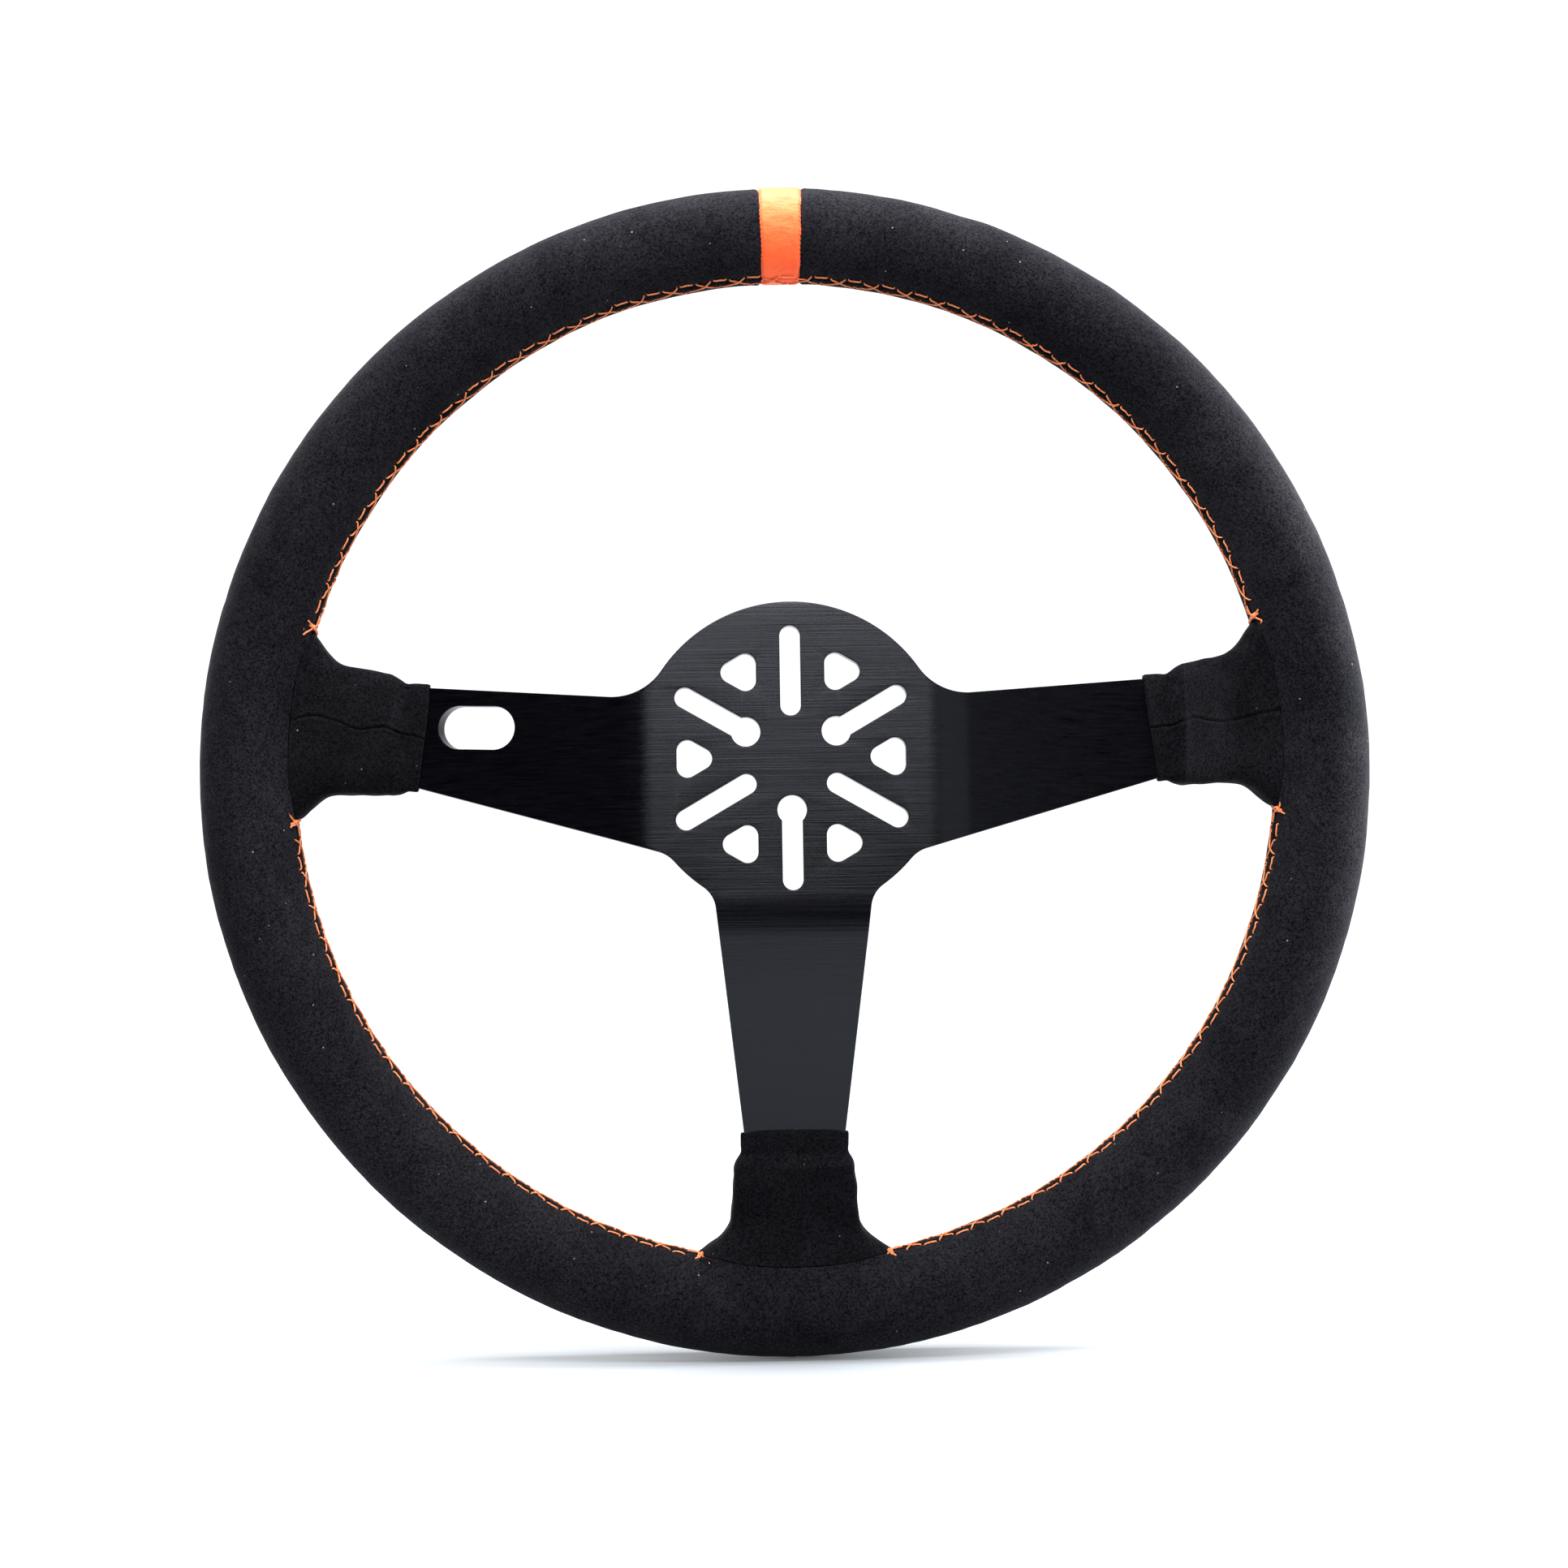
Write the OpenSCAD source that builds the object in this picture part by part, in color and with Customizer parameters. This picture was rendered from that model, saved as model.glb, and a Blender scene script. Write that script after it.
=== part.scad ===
// Three-spoke dished steering wheel with a suede grip, made to bolt to a quick release hub.
//
// Frame: X to the right and Z up, with the wheel upright. The origin is the middle of the
// hub's outer face, the face that meets the quick release hub. Y runs from that face back to
// the rim, so -Y points at the steering column and +Y at the driver.
// All lengths are in millimetres and all angles in degrees.

/* [Rim] */
// Outside diameter of the rim
rim_d = 381; // [378:1:384]
// Diameter of the round grip, over the suede
grip_d = 31; // [30:0.5:32]
// Distance from the hub's outer face back to the middle plane of the rim
dish = 45; // [44:0.5:48]
// Thickness of the suede
suede_t = 1; // [0.8:0.1:1.2]
// Width of the flat hoop inside the grip, across the rim
hoop_w = 16; // [14:1:18]
// Thickness of the hoop
hoop_t = 6; // [5:0.5:7]

/* [Spoke plate] */
// Thickness of the plate
plate_t = 4.8; // [4:0.2:5.2]
// Radius of the round hub
hub_r = 48.6; // [47:0.2:50]
// Distance from the middle at which each spoke starts to bend
bend_start = 42; // [41.5:0.5:44]
// Bend radius of the hub end of each spoke, on the outer face
bend_r = 40; // [35:1:45]
// Bend radius of the rim end of each spoke, on the outer face
tab_bend_r = 20; // [15:1:25]
// Slope of the spokes from the hub back to the rim
spoke_slope = 20.5; // [20:0.5:22]
// Height above the middle at which a side spoke's top edge line crosses the centre line
side_top_z = 14.5; // [13:0.5:16]
// Rise of that top edge towards the rim
side_top_rise = 5.4; // [5:0.1:6]
// Depth below the middle at which a side spoke's bottom edge line crosses the centre line
side_low_z = 40.7; // [40:0.1:41]
// Rise of that bottom edge towards the rim
side_low_rise = 16.1; // [15.8:0.1:16.5]
// Half the bottom spoke's width, carried up to the middle of the hub
bottom_half_w = 29.3; // [28:0.1:30]
// Taper of each edge of the bottom spoke
bottom_taper = 6.4; // [6:0.1:6.6]
// Blend radius between the hub and a side spoke's top edge
top_fillet_r = 18; // [14:1:20]
// Blend radius between the hub and a side spoke's bottom edge
low_fillet_r = 10; // [8:1:11]
// Blend radius between the hub and the bottom spoke
bottom_fillet_r = 9; // [8:1:10]

/* [Hub openings] */
// Width of the six bolt slots
slot_w = 6.35; // [6.2:0.05:6.6]
// Distance from the middle to the centre of a slot's inner end
slot_in_r = 16.25; // [16:0.25:17]
// Distance from the middle to the centre of a slot's outer end
slot_out_r = 37.9; // [36:0.1:38]
// Radius of the round eye at the inner end of each keyhole slot
eye_r = 4.55; // [4.5:0.05:4.8]
// Distance from the middle to the centre of each triangular window
window_at_r = 30.8; // [30:0.1:31]
// Distance from a window's centre to the centres of its rounded corners
window_spread = 2.9; // [2:0.1:3]
// Radius of a window's corners
window_corner_r = 3.3; // [3:0.1:3.4]

/* [Thumb switch slot] */
// Distance of the slot's centre to the left of the middle
switch_x = 98.1; // [90:0.5:104]
// Height of the slot's centre above the middle
switch_z = 11.9; // [10:0.1:12]
// Length of the slot along the spoke
switch_len = 24.7; // [20:0.1:26]
// Width of the slot
switch_w = 13.6; // [12:0.1:14]
// Tilt of the slot's outer end upwards
switch_tilt = 3; // [0:1:4]

/* [Rivets] */
// Diameter of a rivet's shank
rivet_d = 4.8; // [4:0.2:5]
// Diameter of a rivet's heads
rivet_head_d = 7.4; // [7:0.2:8]
// Height of a rivet's head
rivet_head_h = 1.8; // [1.5:0.1:2.2]
// Distance between the two rivets of a spoke
rivet_pitch = 10; // [9.6:0.2:10.4]

/* [Spoke sleeves] */
// Distance from the middle at which the side spokes' padding starts
side_pad_at = 122; // [121.5:0.5:123]
// Distance from the middle at which the bottom spoke's padding starts
bottom_pad_at = 124; // [123:0.5:125]
// Length over which the padding rises off the plate
pad_ramp = 5; // [4:0.5:6]
// Thickness of the padding on each face of the plate, at the end of that rise
pad_t = 3.4; // [3:0.1:4]

/* [Stripe and lacing] */
// Width of the centre stripe at the inside of the rim
stripe_in_w = 12.4; // [11:0.1:13]
// Width of the centre stripe at the outside of the rim
stripe_out_w = 13.9; // [13:0.1:15]
// Height of the stripe above the suede
stripe_proud = 0.3; // [0.2:0.1:0.5]
// Thickness of the lacing thread
thread_t = 0.7; // [0.5:0.1:0.9]
// Width of the stitching across the rim's inner edge
lacing_w = 5; // [4:0.5:6]
// How far round the grip the stitching lies from its innermost line, towards the column side
lacing_turn = 10; // [0:1:12]
// Radius of the knot at each end of a lacing
knot_r = 1.6; // [1.2:0.1:1.8]

/* [Hidden] */
$fn = 96;

PLATE_BLACK = "#2a2b2d";
BARE_ALLOY = "#b9bcc0";
FOAM_GREY = "#3a3a3c";
SUEDE_BLACK = "#1b1c1e";
STRIPE_ORANGE = "#f2682c";
THREAD_ORANGE = "#f4752f";

// How far a cutting shape runs past what it cuts
over = 1;
// Largest angle between the points of an arc that is drawn point by point
arc_step = 2.5;
// The same for the small corners of the hub's windows
corner_step = 10;
// Share of a blend's arc that is left out at the hub, and how far in the blend's polygon starts
blend_skip = 0.06;
inside_hub = 0.97;
grip_r = grip_d / 2;
foam_r = grip_r - suede_t;
// Radius of the circle that runs down the middle of the grip
ring_r = rim_d / 2 - grip_r;
inner_edge_r = ring_r - grip_r;
outer_edge_r = ring_r + grip_r;

// The spoke tabs lie on the hoop's outer face, and the two together are centred in the grip
tab_y = dish - (plate_t + hoop_t) / 2;
hoop_y = tab_y + plate_t;
tab_end_r = ring_r + hoop_w / 2 - 1;

// Corners where the bent spoke's outer face would turn if its bends were sharp
slope_start = bend_start + bend_r * tan(spoke_slope / 2);
slope_end = slope_start + tab_y / tan(spoke_slope);
tab_flat_at = slope_end + tab_bend_r * tan(spoke_slope / 2);

// Half the sleeve's thickness where it meets the grip, and how far in that is
seam_half_t = 9.2;
seam_r = ring_r - sqrt(pow(grip_r, 2) - pow(seam_half_t, 2));
// Half the thickness of the flares that spread along the rim's inner edge
flare_half_t = 6;

// Middle angles of the spoke ends at the rim, and the lacings' end angles
side_mid = 6.6;
bottom_mid = 270;
top_lacing_from = 18;
low_lacing_from = 6.2;
low_lacing_to = 11.7;

// Depth of a spoke's outer face at a distance x from the middle, on the sloped part
function face_y(x) = (x - slope_start) * tan(spoke_slope);
// Depth of its driver's face there
function back_y(x) = face_y(x) + plate_t / cos(spoke_slope);
function polar(r, a) = [r * cos(a), r * sin(a)];
function angle_of(p) = atan2(p.y, p.x);
// Points along an arc, no more than step degrees apart
function arc_points(centre, r, from, to, step = arc_step) =
    let (steps = ceil(abs(to - from) / step))
    [for (i = [0 : steps]) centre + polar(r, from + (to - from) * i / steps)];

// Draws a shape of the X-Z plane as a prism from y0 to y1
module prism_y(y0, y1) {
    translate([0, y1, 0])
        rotate([90, 0, 0])
            linear_extrude(y1 - y0)
                children();
}

// Draws a shape of the X-Y plane as a prism from z0 to z1
module prism_z(z0, z1) {
    translate([0, 0, z0])
        linear_extrude(z1 - z0)
            children();
}

// Turns something that runs out along +X so that it runs down along -Z
module turned_down() {
    rotate([0, 90, 0])
        children();
}

// Sweeps a shape of (distance from the axis, depth) round the wheel's axis.
// from and span are angles from +X towards +Z.
module swept(from, span) {
    rotate([90, 0, 0])
        rotate([0, 0, from])
            rotate_extrude(angle = span)
                scale([1, -1])
                    children();
}

// A ring section between two radii and two angles
module arc_band(r_in, r_out, from, to) {
    intersection() {
        difference() {
            circle(r_out);
            circle(r_in);
        }
        polygon([[0, 0], polar(2 * r_out, from), polar(2 * r_out, (from + to) / 2), polar(2 * r_out, to)]);
    }
}

// ---- Spoke plate ----

// Side view of a bent spoke, from the middle of the hub to the end of its tab
module spoke_profile() {
    hub_bend = [bend_start, bend_r];
    tab_bend = [tab_flat_at, tab_y - tab_bend_r];
    tab_end = ring_r + hoop_w;
    polygon(concat(
        [[0, 0]],
        arc_points(hub_bend, bend_r, -90, spoke_slope - 90),
        arc_points(tab_bend, tab_bend_r, 90 + spoke_slope, 90),
        [[tab_end, tab_y], [tab_end, tab_y + plate_t]],
        arc_points(tab_bend, tab_bend_r + plate_t, 90, 90 + spoke_slope),
        arc_points(hub_bend, bend_r - plate_t, spoke_slope - 90, -90),
        [[0, plate_t]]
    ));
}

// Middle of the blend between the hub's circle and a straight spoke edge. out is the edge's
// normal, away from the spoke, along is the direction in which it leaves the hub, and reach is
// the edge's distance from the middle.
function blend_centre(out, along, reach, r) =
    (reach + r) * out + sqrt(pow(hub_r + r, 2) - pow(reach + r, 2)) * along;

// Points of that blend, from inside the hub to the spoke's edge. The arc leaves out its first
// few degrees, where it would only graze the hub's circle.
function blend_points(out, along, reach, r) =
    let (
        centre = blend_centre(out, along, reach, r),
        from = angle_of(-centre),
        to = angle_of(-out)
    )
    concat(
        [inside_hub * polar(hub_r, angle_of(centre))],
        arc_points(centre, r, from + blend_skip * (to - from), to)
    );

function reversed(points) = [for (i = [len(points) - 1 : -1 : 0]) points[i]];

module side_arm_outline() {
    top_dir = polar(1, side_top_rise);
    low_dir = polar(1, side_low_rise);
    reach = ring_r + hoop_w;
    top = blend_points([-top_dir.y, top_dir.x], top_dir, side_top_z * cos(side_top_rise), top_fillet_r);
    low = blend_points([low_dir.y, -low_dir.x], low_dir, side_low_z * cos(side_low_rise), low_fillet_r);
    polygon(concat(
        [[0, 0]],
        low,
        [[reach, -side_low_z + reach * tan(side_low_rise)]],
        [[reach, side_top_z + reach * tan(side_top_rise)]],
        reversed(top)
    ));
}

module bottom_arm_outline() {
    down = polar(1, -90 - bottom_taper);
    reach = ring_r + hoop_w;
    right = concat(
        blend_points([-down.y, down.x], down, bottom_half_w * cos(bottom_taper), bottom_fillet_r),
        [[bottom_half_w - reach * tan(bottom_taper), -reach]]
    );
    polygon(concat([[0, 0]], right, reversed([for (p = right) [-p.x, p.y]])));
}

// The plate's front view, with no holes, carried through its whole depth
module plate_prism() {
    intersection() {
        union() {
            prism_y(-over, dish + over)
                circle(hub_r);
            for (side = [0, 1])
                mirror([side, 0, 0])
                    prism_y(-over, dish + over)
                        side_arm_outline();
            prism_y(-over, dish + over)
                bottom_arm_outline();
        }
        prism_y(-2 * over, dish + 2 * over)
            circle(tab_end_r);
    }
}

// The side view of all three spokes, carried across their whole width
module plate_bends() {
    for (side = [0, 1])
        mirror([side, 0, 0])
            prism_z(-bend_start, 2 * hub_r)
                spoke_profile();
    turned_down()
        intersection() {
            prism_z(-hub_r, hub_r)
                spoke_profile();
            translate([bend_start - over, -over, -hub_r])
                cube([rim_d, dish + 2 * over, 2 * hub_r]);
        }
}

// The bent plate, with no holes
module plate_blank() {
    intersection() {
        plate_bends();
        plate_prism();
    }
}

module slot_outline() {
    translate([slot_in_r, 0])
        circle(slot_w / 2);
    translate([slot_out_r, 0])
        circle(slot_w / 2);
    translate([slot_in_r, -slot_w / 2])
        square([slot_out_r - slot_in_r, slot_w]);
}

// A triangle with round corners, its point towards the middle of the hub
module window_outline() {
    translate([window_at_r, 0])
        polygon([
            for (a = [60, 180, 300])
                each arc_points(polar(window_spread, a), window_corner_r, a - 60, a + 60, corner_step)
        ]);
}

module hub_openings() {
    prism_y(-over, plate_t + over) {
        for (a = [30 : 60 : 330])
            rotate(a)
                slot_outline();
        for (a = [30, 150, 270])
            translate(polar(slot_in_r, a))
                circle(eye_r);
        for (a = [0 : 60 : 300])
            rotate(a)
                window_outline();
    }
}

// Full-round slot cut square to the left spoke's slope
module switch_slot() {
    half = (switch_len - switch_w) / 2;
    mirror([1, 0, 0])
        translate([switch_x, (face_y(switch_x) + back_y(switch_x)) / 2, switch_z])
            rotate([0, 0, spoke_slope])
                prism_y(-plate_t, plate_t)
                    rotate(switch_tilt) {
                        for (x = [-half, half])
                            translate([x, 0])
                                circle(switch_w / 2);
                        square([2 * half, switch_w], center = true);
                    }
}

module spoke_plate() {
    color(PLATE_BLACK)
        difference() {
            plate_blank();
            hub_openings();
            switch_slot();
            for (mid = [side_mid, 180 - side_mid, bottom_mid])
                rivet_holes(mid);
        }
}

// ---- Hoop and rivets ----

// Puts something at both rivet places of the spoke at angle mid
module at_rivets(mid) {
    rotate([0, -mid, 0])
        for (side = [-1, 1])
            translate([ring_r, 0, side * rivet_pitch / 2])
                children();
}

module rivet_holes(mid) {
    at_rivets(mid)
        prism_y(tab_y - over, hoop_y + hoop_t + over)
            circle(rivet_d / 2);
}

module rivets(mid) {
    at_rivets(mid)
        rotate([-90, 0, 0])
            rotate_extrude()
                polygon([
                    [0, tab_y - rivet_head_h],
                    [rivet_head_d / 4, tab_y - rivet_head_h],
                    [rivet_head_d / 2, tab_y - rivet_head_h / 3],
                    [rivet_head_d / 2, tab_y],
                    [rivet_d / 2, tab_y],
                    [rivet_d / 2, hoop_y + hoop_t],
                    [rivet_head_d / 2, hoop_y + hoop_t],
                    [rivet_head_d / 2, hoop_y + hoop_t + rivet_head_h / 3],
                    [rivet_head_d / 4, hoop_y + hoop_t + rivet_head_h],
                    [0, hoop_y + hoop_t + rivet_head_h]
                ]);
}

module hoop_blank() {
    swept(0, 360)
        translate([ring_r - hoop_w / 2, hoop_y])
            square([hoop_w, hoop_t]);
}

module rim_hoop() {
    color(BARE_ALLOY)
        difference() {
            hoop_blank();
            for (mid = [side_mid, 180 - side_mid, bottom_mid])
                rivet_holes(mid);
        }
}

module rivets_left() {
    color(BARE_ALLOY)
        rivets(180 - side_mid);
}

module rivets_right() {
    color(BARE_ALLOY)
        rivets(side_mid);
}

module rivets_bottom() {
    color(BARE_ALLOY)
        rivets(bottom_mid);
}

// ---- Padding and sleeves ----

// Side view of a padded spoke end, over its suede
module sleeve_profile(end_at, pad_at) {
    skin = suede_t / cos(spoke_slope);
    ramp_end = pad_at + pad_ramp;
    rise = skin + pad_t;
    polygon([
        [end_at, face_y(end_at) - skin],
        [pad_at, face_y(pad_at) - skin],
        [ramp_end, face_y(ramp_end) - rise],
        [seam_r, dish - seam_half_t],
        [ring_r - 4, dish - seam_half_t],
        [ring_r - 4, dish + seam_half_t],
        [seam_r, dish + seam_half_t],
        [ramp_end, back_y(ramp_end) + rise],
        [pad_at, back_y(pad_at) + skin],
        [end_at, back_y(end_at) + skin]
    ]);
}

// Front view of a side spoke's padded end, over its suede, without the flares
module side_sleeve_outline() {
    polygon([
        [114, 26.3],
        [side_pad_at, 27.1],
        [side_pad_at + pad_ramp, 30.6],
        [143.5, 35.3],
        [ring_r - 4, 42],
        [ring_r - 4, -11],
        [147, -7.3],
        [side_pad_at, -7.3],
        [118.3, -7.6]
    ]);
}

// Front view of the flares where a side sleeve spreads along the rim's inner edge
module side_flare_outline() {
    polygon([
        [143.5, 35.3],
        [147, 39],
        [149.2, 43.5],
        [151, 47.5],
        [ring_r - 8, 47.5],
        [ring_r - 8, -14.6],
        [157.6, -14.6],
        [154, -11.2],
        [150.5, -8.9],
        [147, -7.3]
    ]);
}

// Front view of the bottom spoke's padded end, laid out along +X
module bottom_sleeve_outline() {
    half = [
        [117.3, 17.1],
        [bottom_pad_at, 17.1],
        [bottom_pad_at + pad_ramp, 19],
        [142, 20],
        [148, 21],
        [ring_r - 4, 24]
    ];
    polygon(concat(half, reversed([for (p = half) [p.x, -p.y]])));
}

module bottom_flare_outline() {
    half = [
        [148, 21],
        [151, 23.2],
        [153.8, 26.4],
        [156.3, 30.2],
        [ring_r - 8, 30.2]
    ];
    polygon(concat(half, reversed([for (p = half) [p.x, -p.y]])));
}

// A padded side spoke end, shrunk by inset on every side
module side_bulk(inset) {
    intersection() {
        prism_z(-20, 60)
            offset(delta = -inset)
                sleeve_profile(112, side_pad_at);
        prism_y(0, 2 * dish)
            offset(delta = -inset)
                side_sleeve_outline();
    }
    prism_y(dish - flare_half_t + inset, dish + flare_half_t - inset)
        offset(delta = -inset)
            side_flare_outline();
}

// The bottom spoke's padded end, laid out along +X
module bottom_bulk(inset) {
    intersection() {
        prism_z(-40, 40)
            offset(delta = -inset)
                sleeve_profile(112, bottom_pad_at);
        prism_y(0, 2 * dish)
            offset(delta = -inset)
                bottom_sleeve_outline();
    }
    prism_y(dish - flare_half_t + inset, dish + flare_half_t - inset)
        offset(delta = -inset)
            bottom_flare_outline();
}

// Everything further out than x, to trim the padding off the bare end of the plate
module beyond(x) {
    translate([x, -dish, -rim_d / 2])
        cube([rim_d, 4 * dish, rim_d]);
}

module side_pad() {
    intersection() {
        side_bulk(suede_t);
        beyond(side_pad_at);
    }
}

module bottom_pad() {
    turned_down()
        intersection() {
            bottom_bulk(suede_t);
            beyond(bottom_pad_at);
        }
}

// The padding of all three spokes, as solids that still hold the plate
module pads() {
    for (side = [0, 1])
        mirror([side, 0, 0])
            side_pad();
    bottom_pad();
}

// The round of the grip at radius r about its own middle, over a span of angles
module grip_round(r, from, span) {
    swept(from, span)
        translate([ring_r, dish])
            circle(r);
}

module grip_foam() {
    color(FOAM_GREY)
        difference() {
            union() {
                grip_round(foam_r, 0, 360);
                pads();
            }
            plate_blank();
            hoop_blank();
            for (mid = [side_mid, 180 - side_mid, bottom_mid])
                rivets(mid);
        }
}

module sleeve_right() {
    color(SUEDE_BLACK)
        difference() {
            side_bulk(0);
            side_pad();
            plate_blank();
            grip_round(grip_r, -30, 60);
        }
}

module sleeve_left() {
    mirror([1, 0, 0])
        sleeve_right();
}

module sleeve_bottom() {
    color(SUEDE_BLACK)
        difference() {
            turned_down()
                bottom_bulk(0);
            bottom_pad();
            plate_blank();
            grip_round(grip_r, 240, 60);
        }
}

// ---- Rim cover, stripe and lacing ----

module stripe_outline() {
    polygon([
        [-stripe_in_w / 2, inner_edge_r - over],
        [stripe_in_w / 2, inner_edge_r - over],
        [stripe_out_w / 2, outer_edge_r + over],
        [-stripe_out_w / 2, outer_edge_r + over]
    ]);
}

// The right half of the rim's suede, from the stripe to the bottom
module cover_right() {
    color(SUEDE_BLACK)
        difference() {
            swept(-90, 180)
                translate([ring_r, dish])
                    difference() {
                        circle(grip_r);
                        circle(foam_r);
                    }
            prism_y(0, 2 * dish)
                stripe_outline();
            side_pad();
            bottom_pad();
        }
}

module cover_left() {
    mirror([1, 0, 0])
        cover_right();
}

module centre_stripe() {
    color(STRIPE_ORANGE)
        intersection() {
            swept(80, 20)
                translate([ring_r, dish])
                    difference() {
                        circle(grip_r + stripe_proud);
                        circle(foam_r);
                    }
            prism_y(0, 2 * dish)
                stripe_outline();
        }
}

// A run of lacing along the rim's inner edge, with a knot at each end
module lacing(from, span) {
    half = asin(lacing_w / 2 / grip_r);
    middle = 180 + lacing_turn;
    swept(from, span)
        translate([ring_r, dish])
            arc_band(grip_r, grip_r + thread_t, middle - half, middle + half);
    for (a = [from, from + span])
        rotate([0, -a, 0])
            translate([ring_r, dish])
                translate(polar(grip_r + knot_r, middle))
                    sphere(knot_r);
}

// The top run passes over the stripe, so it clears the stripe's raised edge
module lacing_top() {
    color(THREAD_ORANGE)
        difference() {
            lacing(top_lacing_from, 180 - 2 * top_lacing_from);
            centre_stripe();
        }
}

module lacing_right() {
    color(THREAD_ORANGE)
        lacing(low_lacing_to - 90, 90 - low_lacing_to - low_lacing_from);
}

module lacing_left() {
    mirror([1, 0, 0])
        lacing_right();
}

spoke_plate();
rim_hoop();
rivets_left();
rivets_right();
rivets_bottom();
grip_foam();
cover_left();
cover_right();
centre_stripe();
sleeve_left();
sleeve_right();
sleeve_bottom();
lacing_top();
lacing_left();
lacing_right();
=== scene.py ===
"""Looks of a three-spoke suede steering wheel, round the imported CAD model.

Lengths here are millimetres in the row frame: X right, Z up, Y from the hub's outer face back to
the rim, so the camera looks along +Y. MM turns them into Blender's metres as meshes are made.
A place on the grip is (a, phi, rho): a is the angle round the wheel from +X towards +Z, phi the
angle round the grip from its inner edge towards -Y, and rho the distance from the grip's middle.
"""

import math

import bmesh
import bpy
import numpy as np
from mathutils import Matrix, Vector


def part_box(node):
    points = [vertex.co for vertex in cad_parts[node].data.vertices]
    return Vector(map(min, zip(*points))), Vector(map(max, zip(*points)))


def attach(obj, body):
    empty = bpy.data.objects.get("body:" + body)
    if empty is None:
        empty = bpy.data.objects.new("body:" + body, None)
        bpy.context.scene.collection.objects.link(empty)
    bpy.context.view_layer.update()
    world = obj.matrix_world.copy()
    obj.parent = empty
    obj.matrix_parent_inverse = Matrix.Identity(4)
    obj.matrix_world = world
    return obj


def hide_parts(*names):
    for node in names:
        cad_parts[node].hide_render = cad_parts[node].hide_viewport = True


MM = 0.001

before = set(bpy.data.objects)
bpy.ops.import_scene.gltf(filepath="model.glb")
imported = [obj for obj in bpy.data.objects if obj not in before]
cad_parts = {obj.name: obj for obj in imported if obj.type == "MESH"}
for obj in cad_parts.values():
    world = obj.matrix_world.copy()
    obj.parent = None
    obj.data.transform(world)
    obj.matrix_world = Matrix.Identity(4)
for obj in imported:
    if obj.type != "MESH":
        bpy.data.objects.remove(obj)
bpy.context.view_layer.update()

# ---- Sizes, most of them from the frame ----
PLATE_T = 4.8
cover_low, cover_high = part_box("cover_right")
GRIP_R = round(float(cover_high.y - cover_low.y) / MM) / 2
DISH = round(float(cover_high.y + cover_low.y) / MM) / 2
OUTER_R = round(float(cover_high.x) / MM * 2) / 2
RING_R = OUTER_R - GRIP_R
INNER_R = RING_R - GRIP_R
# the spoke tabs lie flat on the hoop's near side
TAB_Y = round(float(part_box("rim_hoop")[0].y) / MM, 1) - PLATE_T



def new_object(name, data):
    obj = bpy.data.objects.new(name, data)
    bpy.context.scene.collection.objects.link(obj)
    return obj


# ---- Camera ----
VIEW_YAW, VIEW_PITCH, VIEW_ROLL = (math.radians(v) for v in (1.505, 3.166, -0.796))
VIEW_DISTANCE = 900
VIEW_SHIFT = Vector((1.132, 0, 5.770))
VIEW_SENSOR = 36
VIEW_LENS = 63.3727


def place_camera():
    """The camera in front of the hub. The three angles turn the wheel, as the camera sees it."""
    turns = ((VIEW_YAW, "Z"), (-VIEW_PITCH, "X"), (VIEW_ROLL, "Y"))
    yaw, pitch, roll = (Matrix.Rotation(angle, 3, axis) for angle, axis in turns)
    to_world = (yaw @ pitch @ roll).transposed()
    place = to_world @ (Vector((0, -VIEW_DISTANCE, 0)) - VIEW_SHIFT) + Vector((0, DISH, 0))
    right, forward, up = (to_world @ Vector(v) for v in ((1, 0, 0), (0, 1, 0), (0, 0, 1)))
    data = bpy.data.cameras.new("camera")
    data.sensor_width = VIEW_SENSOR
    data.lens = VIEW_LENS
    data.clip_start = 0.01
    data.clip_end = 100
    camera = new_object("camera", data)
    turn = Matrix((right, up, -forward)).transposed().to_4x4()
    camera.matrix_world = Matrix.Translation(place * MM) @ turn
    bpy.context.scene.camera = camera


place_camera()


# ---- Small tools ----
def step01(x):
    """Smooth rise from 0 to 1 as x goes from 0 to 1."""
    x = np.clip(x, 0.0, 1.0)
    return x * x * (3 - 2 * x)


def bell(x, width):
    """A smooth bump: 1 at x = 0, and nearly 0 from about twice the width."""
    return np.exp(-((x / width) ** 2))


def ripple(points, size, seed, count=28):
    """Smooth random values, about -1 to 1, that change over about size."""
    rng = np.random.default_rng(seed)
    total = np.zeros(points.shape[:-1])
    for _ in range(count):
        direction = rng.normal(size=3)
        direction *= 2 * np.pi / (size * rng.uniform(0.7, 1.8)) / np.linalg.norm(direction)
        total += np.sin(points @ direction + rng.uniform(0, 2 * np.pi))
    return total / math.sqrt(count)


def grip_points(a, phi, rho):
    """Points of the grip, for arrays of angles in radians and distances."""
    r = RING_R - rho * np.cos(phi)
    return np.stack([r * np.cos(a), DISH - rho * np.sin(phi), r * np.sin(a)], axis=-1)


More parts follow.
